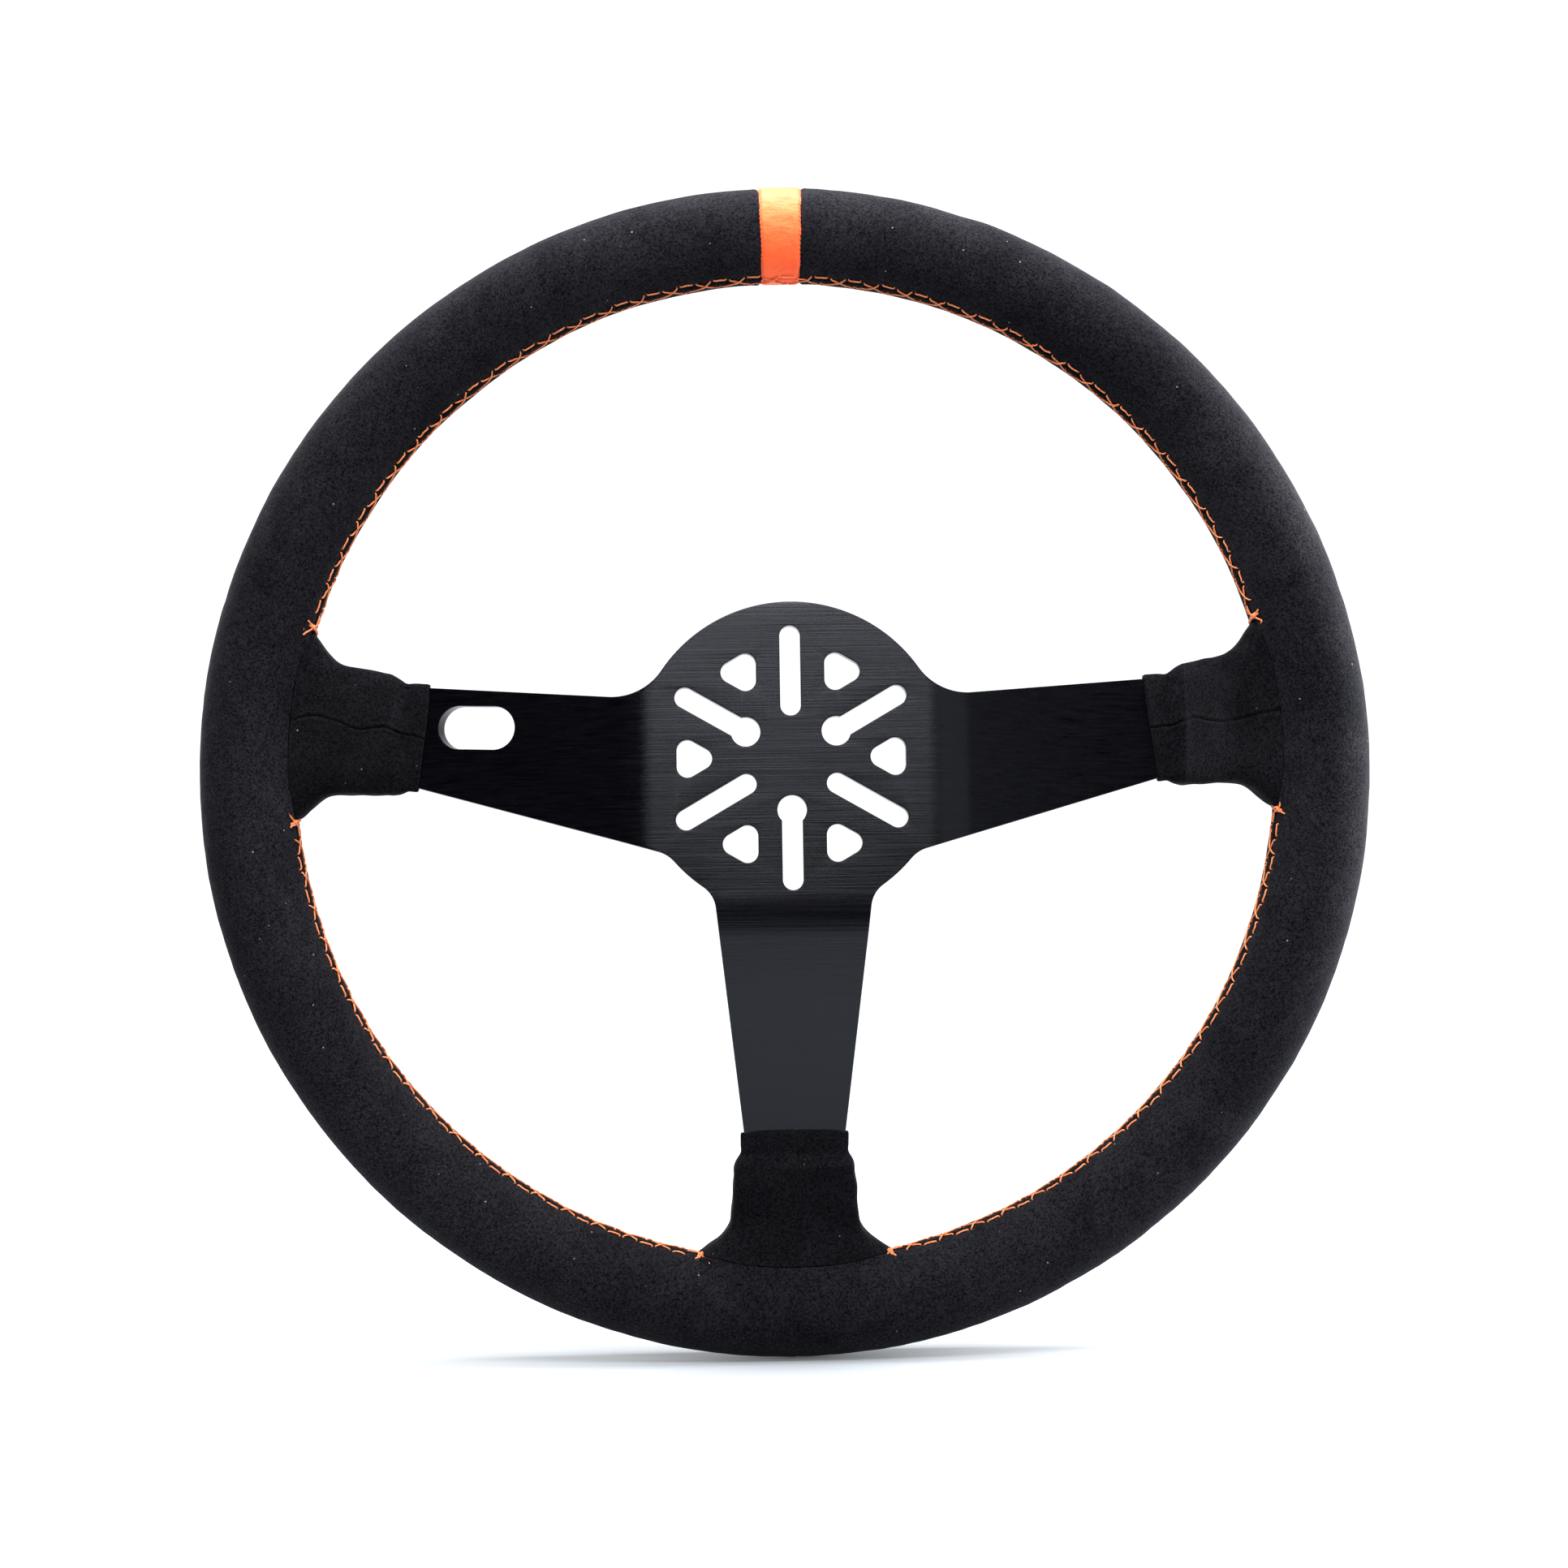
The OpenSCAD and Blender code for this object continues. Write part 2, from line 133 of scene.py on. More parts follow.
def smooth_line(points, count):
    """count points along a smooth curve through the given ones, evenly spaced."""
    p = np.array(points, float)
    p = np.vstack([2 * p[0] - p[1], p, 2 * p[-1] - p[-2]])
    fine = []
    for i in range(1, len(p) - 2):
        t = np.linspace(0, 1, 24, endpoint=False)[:, None]
        fine.append(0.5 * (
            2 * p[i] + (p[i + 1] - p[i - 1]) * t
            + (2 * p[i - 1] - 5 * p[i] + 4 * p[i + 1] - p[i + 2]) * t ** 2
            + (3 * p[i] - p[i - 1] - 3 * p[i + 1] + p[i + 2]) * t ** 3
        ))
    fine = np.vstack(fine + [p[-2:-1]])
    gone = np.concatenate([[0], np.cumsum(np.linalg.norm(np.diff(fine, axis=0), axis=1))])
    at = np.linspace(0, gone[-1], count)
    return np.stack([np.interp(at, gone, fine[:, k]) for k in range(fine.shape[1])], axis=-1)


def make_object(name, vertices, faces, material):
    """A piece that rides on the wheel. vertices are in millimetres."""
    mesh = bpy.data.meshes.new(name)
    mesh.from_pydata((np.asarray(vertices, float) * MM).tolist(), [], [list(f) for f in faces])
    mesh.validate()
    mesh.update()
    mesh.polygons.foreach_set("use_smooth", [True] * len(mesh.polygons))
    mesh.materials.append(material)
    obj = new_object(name, mesh)
    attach(obj, "root")
    return obj


def grid_normals(p, wrap):
    """Unit normals of a grid of points, along d/di x d/dj."""
    du = np.gradient(p, axis=0)
    if wrap:
        dv = (np.roll(p, -1, axis=1) - np.roll(p, 1, axis=1)) / 2
    else:
        dv = np.gradient(p, axis=1)
    n = np.cross(du, dv)
    return n / np.maximum(np.linalg.norm(n, axis=-1, keepdims=True), 1e-9)


def shell_mesh(outer, inner, wrap):
    """Vertices and faces of a closed skin between two grids, which face along d/di x d/dj."""
    rows, cols = outer.shape[:2]
    vertices = np.vstack([outer.reshape(-1, 3), inner.reshape(-1, 3)])
    under = rows * cols
    faces = []
    last = cols if wrap else cols - 1
    for i in range(rows - 1):
        for j in range(last):
            k = (j + 1) % cols
            a, b, c, d = i * cols + j, (i + 1) * cols + j, (i + 1) * cols + k, i * cols + k
            faces.append((a, b, c, d))
            faces.append((a + under, d + under, c + under, b + under))
    for j in range(last):
        k = (j + 1) % cols
        a, d = j, k
        faces.append((a, d, d + under, a + under))
        a, d = (rows - 1) * cols + j, (rows - 1) * cols + k
        faces.append((d, a, a + under, d + under))
    if not wrap:
        for i in range(rows - 1):
            a, b = i * cols, (i + 1) * cols
            faces.append((b, a, a + under, b + under))
            a, b = i * cols + cols - 1, (i + 1) * cols + cols - 1
            faces.append((a, b, b + under, a + under))
    return vertices, faces


def tube_mesh(points, radii, sides=8):
    """Vertices and faces of a round thread along points, closed at both ends."""
    p = np.asarray(points, float)
    radii = np.broadcast_to(radii, len(p))
    ahead = np.gradient(p, axis=0)
    ahead /= np.linalg.norm(ahead, axis=1, keepdims=True)
    side = np.cross(ahead[0], [0.3, 0.8, 0.5])
    vertices, faces = [], []
    for i, (centre, direction) in enumerate(zip(p, ahead)):
        side = side - direction * (side @ direction)
        side /= np.linalg.norm(side)
        up = np.cross(direction, side)
        for k in range(sides):
            angle = 2 * np.pi * k / sides
            vertices.append(centre + radii[i] * (np.cos(angle) * side + np.sin(angle) * up))
    for i in range(len(p) - 1):
        for k in range(sides):
            m = (k + 1) % sides
            faces.append((i * sides + k, i * sides + m, (i + 1) * sides + m, (i + 1) * sides + k))
    start, end = len(vertices), len(vertices) + 1
    vertices += [p[0] - ahead[0] * radii[0] * 0.5, p[-1] + ahead[-1] * radii[-1] * 0.5]
    top = (len(p) - 1) * sides
    for k in range(sides):
        m = (k + 1) % sides
        faces.append((start, m, k))
        faces.append((end, top + k, top + m))
    return vertices, faces


def joined(meshes):
    """One mesh out of several, each given as its vertices and faces."""
    vertices, faces = [], []
    for v, f in meshes:
        base = len(vertices)
        vertices.extend(v)
        faces.extend(tuple(base + i for i in face) for face in f)
    return vertices, faces


# ---- Materials ----
def fill(node, **numbers):
    """Set a node's inputs. Each name has _ for a space."""
    for name, number in numbers.items():
        node.inputs[name.replace("_", " ")].default_value = number


class Nodes:
    """Short calls for building one material's nodes. Each texture call returns an output socket."""

    def __init__(self, name):
        self.material = bpy.data.materials.new(name)
        self.material.use_nodes = True
        self.tree = self.material.node_tree
        self.shader = self.tree.nodes["Principled BSDF"]
        self.place = self.tree.nodes.new("ShaderNodeTexCoord").outputs["Object"]

    def put(self, socket, value):
        """Link value to a socket if it is one itself, or else set it."""
        if isinstance(value, bpy.types.NodeSocket):
            self.tree.links.new(value, socket)
        else:
            socket.default_value = value

    def set(self, **inputs):
        """Set the shader's inputs. Each name has _ for a space."""
        for name, value in inputs.items():
            self.put(self.shader.inputs[name.replace("_", " ")], value)

    def stretched(self, scale, turn=(0, 0, 0)):
        node = self.tree.nodes.new("ShaderNodeMapping")
        self.put(node.inputs["Vector"], self.place)
        fill(node, Scale=scale, Rotation=turn)
        return node.outputs["Vector"]

    def noise(self, scale, detail=2.0, roughness=0.5, vector=None, distortion=0.0):
        node = self.tree.nodes.new("ShaderNodeTexNoise")
        self.put(node.inputs["Vector"], vector or self.place)
        fill(node, Scale=scale, Detail=detail, Roughness=roughness, Distortion=distortion)
        return node.outputs["Fac"]

    def cells(self, scale, output="Distance", vector=None):
        node = self.tree.nodes.new("ShaderNodeTexVoronoi")
        self.put(node.inputs["Vector"], vector or self.place)
        fill(node, Scale=scale)
        return node.outputs[output]

    def ramp(self, value, from_low, from_high, to_low=0.0, to_high=1.0):
        node = self.tree.nodes.new("ShaderNodeMapRange")
        self.put(node.inputs["Value"], value)
        fill(node, From_Min=from_low, From_Max=from_high, To_Min=to_low, To_Max=to_high)
        return node.outputs["Result"]

    def maths(self, kind, a, b):
        node = self.tree.nodes.new("ShaderNodeMath")
        node.operation = kind
        self.put(node.inputs[0], a)
        self.put(node.inputs[1], b)
        return node.outputs["Value"]

    def weighted(self, a, share, b):
        """share of a and the rest of b."""
        return self.maths("ADD", self.maths("MULTIPLY", a, share), self.maths("MULTIPLY", b, 1 - share))

    def mix(self, factor, a, b):
        node = self.tree.nodes.new("ShaderNodeMix")
        node.data_type = "RGBA"
        self.put(node.inputs["Factor"], factor)
        self.put(node.inputs[6], a)
        self.put(node.inputs[7], b)
        return node.outputs[2]

    def bump(self, height, distance, strength=1.0, normal=None):
        node = self.tree.nodes.new("ShaderNodeBump")
        fill(node, Strength=strength, Distance=distance)
        self.put(node.inputs["Height"], height)
        if normal is not None:
            self.put(node.inputs["Normal"], normal)
        return node.outputs["Normal"]


def suede_material(name, seed, tone):
    """Black suede: a short nap with brushed patches, and a little pale lint. tone is how light it is."""
    n = Nodes(name)
    shift = n.stretched((1, 1, 1), (0.3 * seed, 0.2 * seed, 0.1 * seed))
    fine = n.noise(1500, 2, 0.6, shift)
    tuft = n.noise(760, 3, 0.6, shift)
    patch = n.noise(60, 4, 0.6, shift, 0.8)
    broad = n.noise(14, 2, 0.5, shift)
    nap = n.ramp(n.weighted(patch, 0.55, broad), 0.36, 0.64)
    grain = n.ramp(n.weighted(fine, 0.72, tuft), 0.38, 0.62)
    # the extra blue in these colour stops is a painted veil of lens flare, not the suede's own colour
    deep, dim, mid, pale = (
        (tone * red, tone * green, tone * blue, 1)
        for red, green, blue in ((1.2, 1.2, 2.0), (3.4, 3.3, 4.6), (9.5, 9.4, 12.5), (20, 19.4, 23.2)))
    dark = n.mix(nap, deep, dim)
    light = n.mix(nap, mid, pale)
    colour = n.mix(grain, dark, light)
    # lint: the middles of a few cells, chosen by the cell's own random colour
    spot = n.ramp(n.cells(260, vector=shift), 0.05, 0.09, 1, 0)
    pick = n.ramp(n.cells(260, output="Color", vector=shift), 0.72, 0.76)
    lint = n.maths("MULTIPLY", spot, pick)
    n.set(Base_Color=n.mix(lint, colour, (0.15, 0.15, 0.16, 1)))
    n.set(Roughness=n.ramp(grain, 0, 1, 0.98, 0.82))
    n.set(Sheen_Weight=0.052, Sheen_Roughness=0.40, Sheen_Tint=(0.86, 0.88, 0.95, 1))
    n.set(Specular_IOR_Level=0.02)
    coarse = n.bump(tuft, 0.00022, 0.55)
    n.set(Normal=n.bump(fine, 0.00016, 0.75, coarse))
    return n.material


def plate_material():
    """Black anodised aluminium, brushed along X before it was bent."""
    n = Nodes("plate_black")
    hair = n.noise(1.0, 3, 0.6, n.stretched((26, 400, 5200)))
    streak = n.noise(1.0, 2, 0.6, n.stretched((14, 300, 1500)))
    cloud = n.noise(38, 3, 0.5)
    lines = n.ramp(n.weighted(hair, 0.45, streak), 0.36, 0.64)
    n.set(Base_Color=n.mix(lines, (0.0004, 0.0004, 0.0009, 1), (0.0022, 0.0022, 0.0032, 1)))
    n.set(Roughness=n.maths("ADD", n.ramp(lines, 0, 1, 0.12, 0.165), n.ramp(cloud, 0.3, 0.7, -0.01, 0.02)))
    n.set(Metallic=0.0, Specular_IOR_Level=0.22, Specular_Tint=(0.85, 0.89, 1.0, 1), Anisotropic=1.0)
    across = n.tree.nodes.new("ShaderNodeTangent")
    across.direction_type = "UV_MAP"
    across.uv_map = "brush"
    n.set(Normal=n.bump(lines, 0.00006, 0.34), Tangent=across.outputs["Tangent"])
    return n.material


def alloy_material(name, tone):
    """Mill-finish aluminium with fine turning and handling marks."""
    n = Nodes(name)
    marks = n.noise(900, 4, 0.7, n.stretched((1, 6, 1)))
    cloud = n.noise(90, 3, 0.6)
    n.set(Base_Color=n.mix(cloud, (tone * 0.82, tone * 0.83, tone * 0.85, 1), (tone, tone, tone, 1)))
    n.set(Metallic=1.0, Roughness=n.ramp(marks, 0.3, 0.7, 0.28, 0.46))
    n.set(Normal=n.bump(marks, 0.00002, 0.4))
    return n.material


def foam_material():
    """Moulded polyurethane foam with open pores."""
    n = Nodes("foam_grey")
    pores = n.cells(1400)
    tone = n.noise(120, 3, 0.6)
    n.set(Base_Color=n.mix(tone, (0.026, 0.026, 0.028, 1), (0.052, 0.052, 0.055, 1)))
    n.set(Roughness=n.ramp(pores, 0, 0.6, 0.95, 0.8))
    n.set(Normal=n.bump(pores, 0.00018, 0.6))
    return n.material


def stripe_material():
    """Orange leather with a fine pebble grain and stretch wrinkles across it."""
    n = Nodes("stripe_orange")
    pebble = n.cells(1150)
    crease = n.noise(1.0, 4, 0.62, n.stretched((150, 420, 640)), 1.2)
    soft = n.noise(220, 3, 0.5)
    grain = n.weighted(pebble, 0.35, crease)
    low = n.mix(soft, (0.95, 0.082, 0.026, 1), (0.97, 0.100, 0.030, 1))
    n.set(Base_Color=n.mix(n.ramp(grain, 0.25, 0.6), low, (0.98, 0.125, 0.036, 1)))
    n.set(Roughness=n.ramp(grain, 0.2, 0.7, 0.55, 0.42))
    n.set(Specular_IOR_Level=0.25, Specular_Tint=(1.0, 0.72, 0.45, 1))
    fine = n.bump(pebble, 0.00010, 0.35)
    n.set(Normal=n.bump(crease, 0.00045, 0.6, fine))
    return n.material


def thread_material():
    """Waxed orange polyester thread: twisted fibres, some of them paler, which are painted highlights on
    random fibres.
    """
    n = Nodes("thread_orange")
    fibre = n.noise(1.0, 3, 0.6, n.stretched((2600, 2600, 5200), (0.6, 0.3, 0.5)))
    tone = n.noise(260, 3, 0.5)
    base = n.mix(tone, (0.52, 0.10, 0.022, 1), (0.80, 0.19, 0.05, 1))
    # the paler fibre colour is a painted highlight
    n.set(Base_Color=n.mix(n.ramp(fibre, 0.45, 0.7), base, (0.92, 0.34, 0.13, 1)))
    n.set(Roughness=n.ramp(fibre, 0.3, 0.7, 0.62, 0.42))
    n.set(Specular_IOR_Level=0.45)
    n.set(Normal=n.bump(fibre, 0.00012, 0.8))
    return n.material


PLATE = plate_material()
SUEDE_RIM = suede_material("suede_black_rim", 1, 0.00082)
# the sleeves' suede is the rim's made darker: partly a darker nap, partly painted shade, as the sleeves lie
# further from the top light
SUEDE_SLEEVE_NAP_AND_SHADE = suede_material("suede_black_sleeve_nap_and_shade", 2, 0.00050)
STRIPE = stripe_material()
THREAD = thread_material()
FOAM = foam_material()


# ---- Spoke plate ----
HUB_R = 48.6
# how far the edges of the side spokes and of the bottom spoke pass from the middle, and their slopes
TOP_EDGE, LOW_EDGE, FOOT_EDGE = 14.5, 40.7, 29.3
TOP_RISE, LOW_RISE, FOOT_TAPER = math.radians(5.4), math.radians(16.1), math.radians(6.4)
TOP_BLEND_R, LOW_BLEND_R, FOOT_BLEND_R = 18, 10, 9
# the hub's slots, keyhole eyes and windows
SLOT_IN, SLOT_OUT, SLOT_R = 16.25, 37.9, 3.175
EYE_R = 4.55
EYE_ANGLES = (30, 150, 270)
WINDOW_AT, WINDOW_CORNER, WINDOW_CORNER_R = 30.8, 2.9, 3.3
# the switch slot of the left spoke
SWITCH_AT = (-98.1, 11.9)
SWITCH_TURN = -3
SWITCH_HALF, SWITCH_R = 5.55, 6.8
# each spoke is bent back at the hub, and bent flat again at its tab inside the grip
BEND_START, BEND_R = 42, 40
TAB_BEND_R = 20
SLOPE = math.radians(20.5)
TAB_END_R = RING_R + 7
SLOPE_START = BEND_START + BEND_R * math.tan(SLOPE / 2)
TAB_FLAT_AT = SLOPE_START + TAB_Y / math.tan(SLOPE) + TAB_BEND_R * math.tan(SLOPE / 2)
BEVEL = 0.35


def plate_depth(s, through=0.0):
    """Depth of the plate at distance s along a spoke from the wheel's middle.

    through is 0 for the outer face and PLATE_T for the driver's face.
    """
    s = np.asarray(s, float)
    hub_r, tab_r = BEND_R - through, TAB_BEND_R + through
    hub_end = BEND_START + hub_r * math.sin(SLOPE)
    tab_start = TAB_FLAT_AT - tab_r * math.sin(SLOPE)
    bend = BEND_R - np.sqrt(np.maximum(hub_r ** 2 - np.clip(s - BEND_START, 0, None) ** 2, 0))
    slope = (s - SLOPE_START) * math.tan(SLOPE) + through / math.cos(SLOPE)
    tab = TAB_Y - TAB_BEND_R + np.sqrt(np.maximum(tab_r ** 2 - (s - TAB_FLAT_AT) ** 2, 0))
    ends = [s < BEND_START, s < hub_end, s < tab_start, s < TAB_FLAT_AT]
    return np.select(ends, [0 * s + through, bend, slope, tab], TAB_Y + through)


def arc(centre, r, start, end, step=2.5):
    """Points of an arc in the X-Z plane. Angles are in degrees."""
    count = max(2, int(math.ceil(abs(end - start) / step)) + 1)
    return [(centre[0] + r * math.cos(math.radians(v)), centre[1] + r * math.sin(math.radians(v)))
            for v in np.linspace(start, end, count)]


def angle_of(x, z):
    return math.degrees(math.atan2(z, x))


def blend(out, along, reach, r):
    """The arc between the hub and a spoke's straight edge, from the hub outwards, and its angle on the hub.

    The edge runs along one direction at distance reach from the middle, on the out side.
    """
    run = math.sqrt((HUB_R + r) ** 2 - (reach + r) ** 2)
    centre = ((reach + r) * out[0] + run * along[0], (reach + r) * out[1] + run * along[1])
    start, end = angle_of(-centre[0], -centre[1]), angle_of(-out[0], -out[1])
    end += 360 * round((start - end) / 360)
    return arc(centre, r, start, end), angle_of(*centre)


def edge_end(point, slope):
    """Where a spoke's straight edge through point meets the round end of the tab."""
    a = 1 + slope ** 2
    b = 2 * slope * point
    c = point ** 2 - TAB_END_R ** 2
    x = (-b + math.sqrt(b * b - 4 * a * c)) / (2 * a)
    return x, point + slope * x


def plate_outline():
    """The plate's flat outline: its right half clockwise from the top, and then the left half."""
    up, low = (math.cos(TOP_RISE), math.sin(TOP_RISE)), (math.cos(LOW_RISE), math.sin(LOW_RISE))
    down = (-math.sin(FOOT_TAPER), -math.cos(FOOT_TAPER))
    top, top_at = blend((-up[1], up[0]), up, TOP_EDGE * math.cos(TOP_RISE), TOP_BLEND_R)
    under, under_at = blend((low[1], -low[0]), low, LOW_EDGE * math.cos(LOW_RISE), LOW_BLEND_R)
    foot, foot_at = blend((-down[1], down[0]), down, FOOT_EDGE * math.cos(FOOT_TAPER), FOOT_BLEND_R)
    top_end, low_end = edge_end(TOP_EDGE, math.tan(TOP_RISE)), edge_end(-LOW_EDGE, math.tan(LOW_RISE))
    foot_drop, foot_half = edge_end(FOOT_EDGE, -math.tan(FOOT_TAPER))
    right = arc((0, 0), HUB_R, 90, top_at) + top[1:]
    right += arc((0, 0), TAB_END_R, angle_of(*top_end), angle_of(*low_end))
    right += under[::-1] + arc((0, 0), HUB_R, under_at, foot_at)[1:-1] + foot
    right += arc((0, 0), TAB_END_R, angle_of(foot_half, -foot_drop), -90)
    return right + [(-x, z) for x, z in right[-2:0:-1]]


def turned(points, degrees, shift=(0, 0)):
    """Points of the X-Z plane, turned and then shifted."""
    c, s = math.cos(math.radians(degrees)), math.sin(math.radians(degrees))
    return [(shift[0] + x * c - z * s, shift[1] + x * s + z * c) for x, z in points]


def long_hole(inner, outer, r, eye_r=None):
    """A slot along X, with a round eye at its inner end if it is a keyhole."""
    if eye_r is None:
        start = arc((inner, 0), r, 90, 270, 6)
    else:
        neck = math.degrees(math.asin(r / eye_r))
        start = arc((inner, 0), eye_r, neck, 360 - neck, 6)
    return start + arc((outer, 0), r, -90, 90, 6)


def plate_holes():
    """The outlines of the windows, the bolt slots and the switch slot."""
    window = []
    for v in (60, 180, 300):
        x, z = WINDOW_CORNER * math.cos(math.radians(v)), WINDOW_CORNER * math.sin(math.radians(v))
        window += arc((WINDOW_AT + x, z), WINDOW_CORNER_R, v - 60, v + 60, 7.5)
    holes = [turned(window, v) for v in range(0, 360, 60)]
    for v in range(30, 360, 60):
        eye = EYE_R if v in EYE_ANGLES else None
        holes.append(turned(long_hole(SLOT_IN, SLOT_OUT, SLOT_R, eye), v))
    holes.append(turned(long_hole(-SWITCH_HALF, SWITCH_HALF, SWITCH_R), SWITCH_TURN, SWITCH_AT))
    return holes


def make_plate():
    """The plate: a flat shape with bevelled edges, cut across at the bends and then bent."""
    curve = bpy.data.curves.new("plate_curve", "CURVE")
    curve.dimensions = "2D"
    curve.fill_mode = "BOTH"
    curve.extrude = PLATE_T / 2 - BEVEL
    curve.bevel_depth = BEVEL
    curve.bevel_resolution = 1
    curve.offset = -BEVEL
    for loop in [plate_outline(), *plate_holes()]:
        spline = curve.splines.new("POLY")
        spline.points.add(len(loop) - 1)
        for point, (x, z) in zip(spline.points, loop):
            point.co = (x, z, 0, 1)
        spline.use_cyclic_u = True
    holder = new_object("plate_holder", curve)
    depsgraph = bpy.context.evaluated_depsgraph_get()
    mesh = bpy.data.meshes.new_from_object(holder.evaluated_get(depsgraph))
    bpy.data.objects.remove(holder)
    bm = bmesh.new()
    bm.from_mesh(mesh)
    bmesh.ops.remove_doubles(bm, verts=bm.verts, dist=0.0005)
    cuts = list(np.linspace(BEND_START, BEND_START + BEND_R * math.sin(SLOPE), 17))
    tab_start = TAB_FLAT_AT - (TAB_BEND_R + PLATE_T) * math.sin(SLOPE)
    cuts += list(np.linspace(tab_start, TAB_FLAT_AT, 9))
    for s in cuts:
        for place, facing in (((s, 0, 0), (1, 0, 0)), ((-s, 0, 0), (1, 0, 0)), ((0, -s, 0), (0, 1, 0))):
            bmesh.ops.bisect_plane(
                bm, geom=[*bm.verts, *bm.edges, *bm.faces], plane_co=place, plane_no=facing, dist=1e-5)
    near_slot = 0.7
    for v in bm.verts:
        x, z, through = v.co.x, v.co.y, PLATE_T / 2 - v.co.z
        s = abs(x) if z > -BEND_START else -z
        near, far = float(plate_depth(s)), float(plate_depth(s, PLATE_T))
        y = near + (far - near) * through / PLATE_T
        along, beside = turned([(x - SWITCH_AT[0], z - SWITCH_AT[1])], -SWITCH_TURN)[0]
        if abs(along) < SWITCH_HALF + SWITCH_R + near_slot and abs(beside) < SWITCH_R + near_slot:
            # the switch slot's walls are square to the slope
            y = (near + far) / 2 + (through - PLATE_T / 2) * math.cos(SLOPE)
            x += (through - PLATE_T / 2) * math.sin(SLOPE)
        v.co = Vector((x, y, z))
    bmesh.ops.recalc_face_normals(bm, faces=bm.faces)
    # the highlight spreads across the brushing, so U runs along Z
    brush = bm.loops.layers.uv.new("brush")
    for face in bm.faces:
        for corner in face.loops:
            corner[brush].uv = (corner.vert.co.z * MM, corner.vert.co.x * MM)
    bm.to_mesh(mesh)
    bm.free()
    mesh.transform(Matrix.Scale(MM, 4))
    mesh.materials.clear()
    mesh.materials.append(PLATE)
    mesh.polygons.foreach_set("use_smooth", [True] * len(mesh.polygons))
    mesh.set_sharp_from_angle(angle=math.radians(24))
    obj = new_object("spoke_plate_body", mesh)
    weighted = obj.modifiers.new("flat_faces", "WEIGHTED_NORMAL")
    weighted.keep_sharp = True
    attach(obj, "root")
    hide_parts("spoke_plate")


make_plate()


# ---- Shape of a padded spoke end and of the grip beside it ----
SUEDE_T = 1.0
STITCH_PHI = math.radians(13.5)
# a round fillet between the grip and a pad: its radius, and the direction of its middle
FILLET_R = 6
FILLET_AT = math.radians(43.5)
PAD_HALF = 8.9
SEAM_PHI = math.radians(32.5)
PROFILE_POWER = 4.2
# half the width and half the thickness of a padded spoke end, near enough to space points round it
PAD_ACROSS, PAD_THICK = 19, 7
SLEEVE_LENGTH = 46

# A sleeve's plan, laid out along +X: the angles of the rim that it meets, its free end, its lower and its
# upper edge, and where it steps up from the plate onto the pad.
SIDE = {
    "from": -5.5, "to": 16.4,
    "end": [(118.3, -7.6), (117.2, 2), (115.4, 14), (114, 26.7)],
    "low": [(118.3, -7.6), (121.6, -7.5), (126.0, -8.3), (134, -8.2), (142, -7.7), (147.5, -8.0),
            (151.2, -9.5), (154.3, -11.9), (156.6, -14.0)],
    "high": [(114, 26.7), (118, 27.1), (121.8, 27.5), (126.3, 30.0), (134, 32.2), (141, 33.8),
             (145.3, 35.7), (148.6, 38.9), (151.2, 42.6)],
    "pad_at": 121.8,
}
BOTTOM_EDGE = [(117.3, 17.2), (123.6, 17.3), (127.8, 18.9), (135, 19.6), (142, 20.1), (147.2, 21.3),
               (150.6, 23.4), (153.4, 26.6)]
BOTTOM = {
    "from": -11.3, "to": 11.3,
    "end": [(117.3, -17.2), (117.1, -6), (117.2, 6), (117.3, 17.2)],
    "low": [(along, -across) for along, across in BOTTOM_EDGE],
    "high": BOTTOM_EDGE,
    "pad_at": 123.6,
}


def fillet_rho(phi):
    """Distance from the grip's middle to its surface beside a pad, where the fillet fills the corner."""
    reach = GRIP_R + FILLET_R
    delta = np.clip(FILLET_AT - np.abs(phi), 0, math.radians(14))
    return reach * np.cos(delta) - np.sqrt(FILLET_R ** 2 - (reach * np.sin(delta)) ** 2)


def across_profile(count):
    """Places across a padded section, -1 to 1, that are evenly spaced along its curve."""
    angle = np.linspace(-np.pi / 2, np.pi / 2, 4001)
    across = np.sign(np.sin(angle)) * np.abs(np.sin(angle)) ** (2 / PROFILE_POWER)
    thick = np.abs(np.cos(angle)) ** (2 / PROFILE_POWER)
    steps = np.hypot(np.diff(across) * PAD_ACROSS, np.diff(thick) * PAD_THICK)
    gone = np.concatenate([[0], np.cumsum(steps)])
    return np.interp(np.linspace(0, gone[-1], count), gone, across)


def thick_at(across):
    """The section's thickness, 0 to 1, at places across, -1 to 1."""
    return (1 - np.clip(np.abs(across), 0, 1) ** PROFILE_POWER) ** (1 / PROFILE_POWER)


def zone_place(a, shape):
    """Place of an angle across a pad's zone of the rim, -1 to 1 inside it. Angles are in degrees."""
    return (a - shape["from"]) / (shape["to"] - shape["from"]) * 2 - 1


def pad_depth(u, shape):
    """Half the thickness and the middle depth of a sleeve at distance u from the wheel's middle."""
    pad_foam = 3.4
    skin = SUEDE_T / math.cos(SLOPE)
    near = plate_depth(u) - skin
    far = plate_depth(u, PLATE_T) + skin
    start = shape["pad_at"]
    full = start + 5.0
    near_full = float(plate_depth(full)) - skin - pad_foam
    far_full = float(plate_depth(full, PLATE_T)) + skin + pad_foam
    end = RING_R - math.sqrt(GRIP_R ** 2 - PAD_HALF ** 2)
    share = np.clip((u - full) / (end - full), 0, 1)
    near_pad = near_full + (DISH - PAD_HALF - near_full) * (share + 0.12 * np.sin(np.pi * share))
    far_pad = far_full + (DISH + PAD_HALF - far_full) * share
    rise = step01((u - start) / 4.6)
    near = near * (1 - rise) + near_pad * rise
    far = far * (1 - rise) + far_pad * rise
    return (far - near) / 2, (far + near) / 2


def rim_corner(shape, edge):
    """Where the edge "from" or "to" of a sleeve meets the innermost line of the grip."""
    angle = math.radians(shape[edge])
    return INNER_R * math.cos(angle), INNER_R * math.sin(angle)


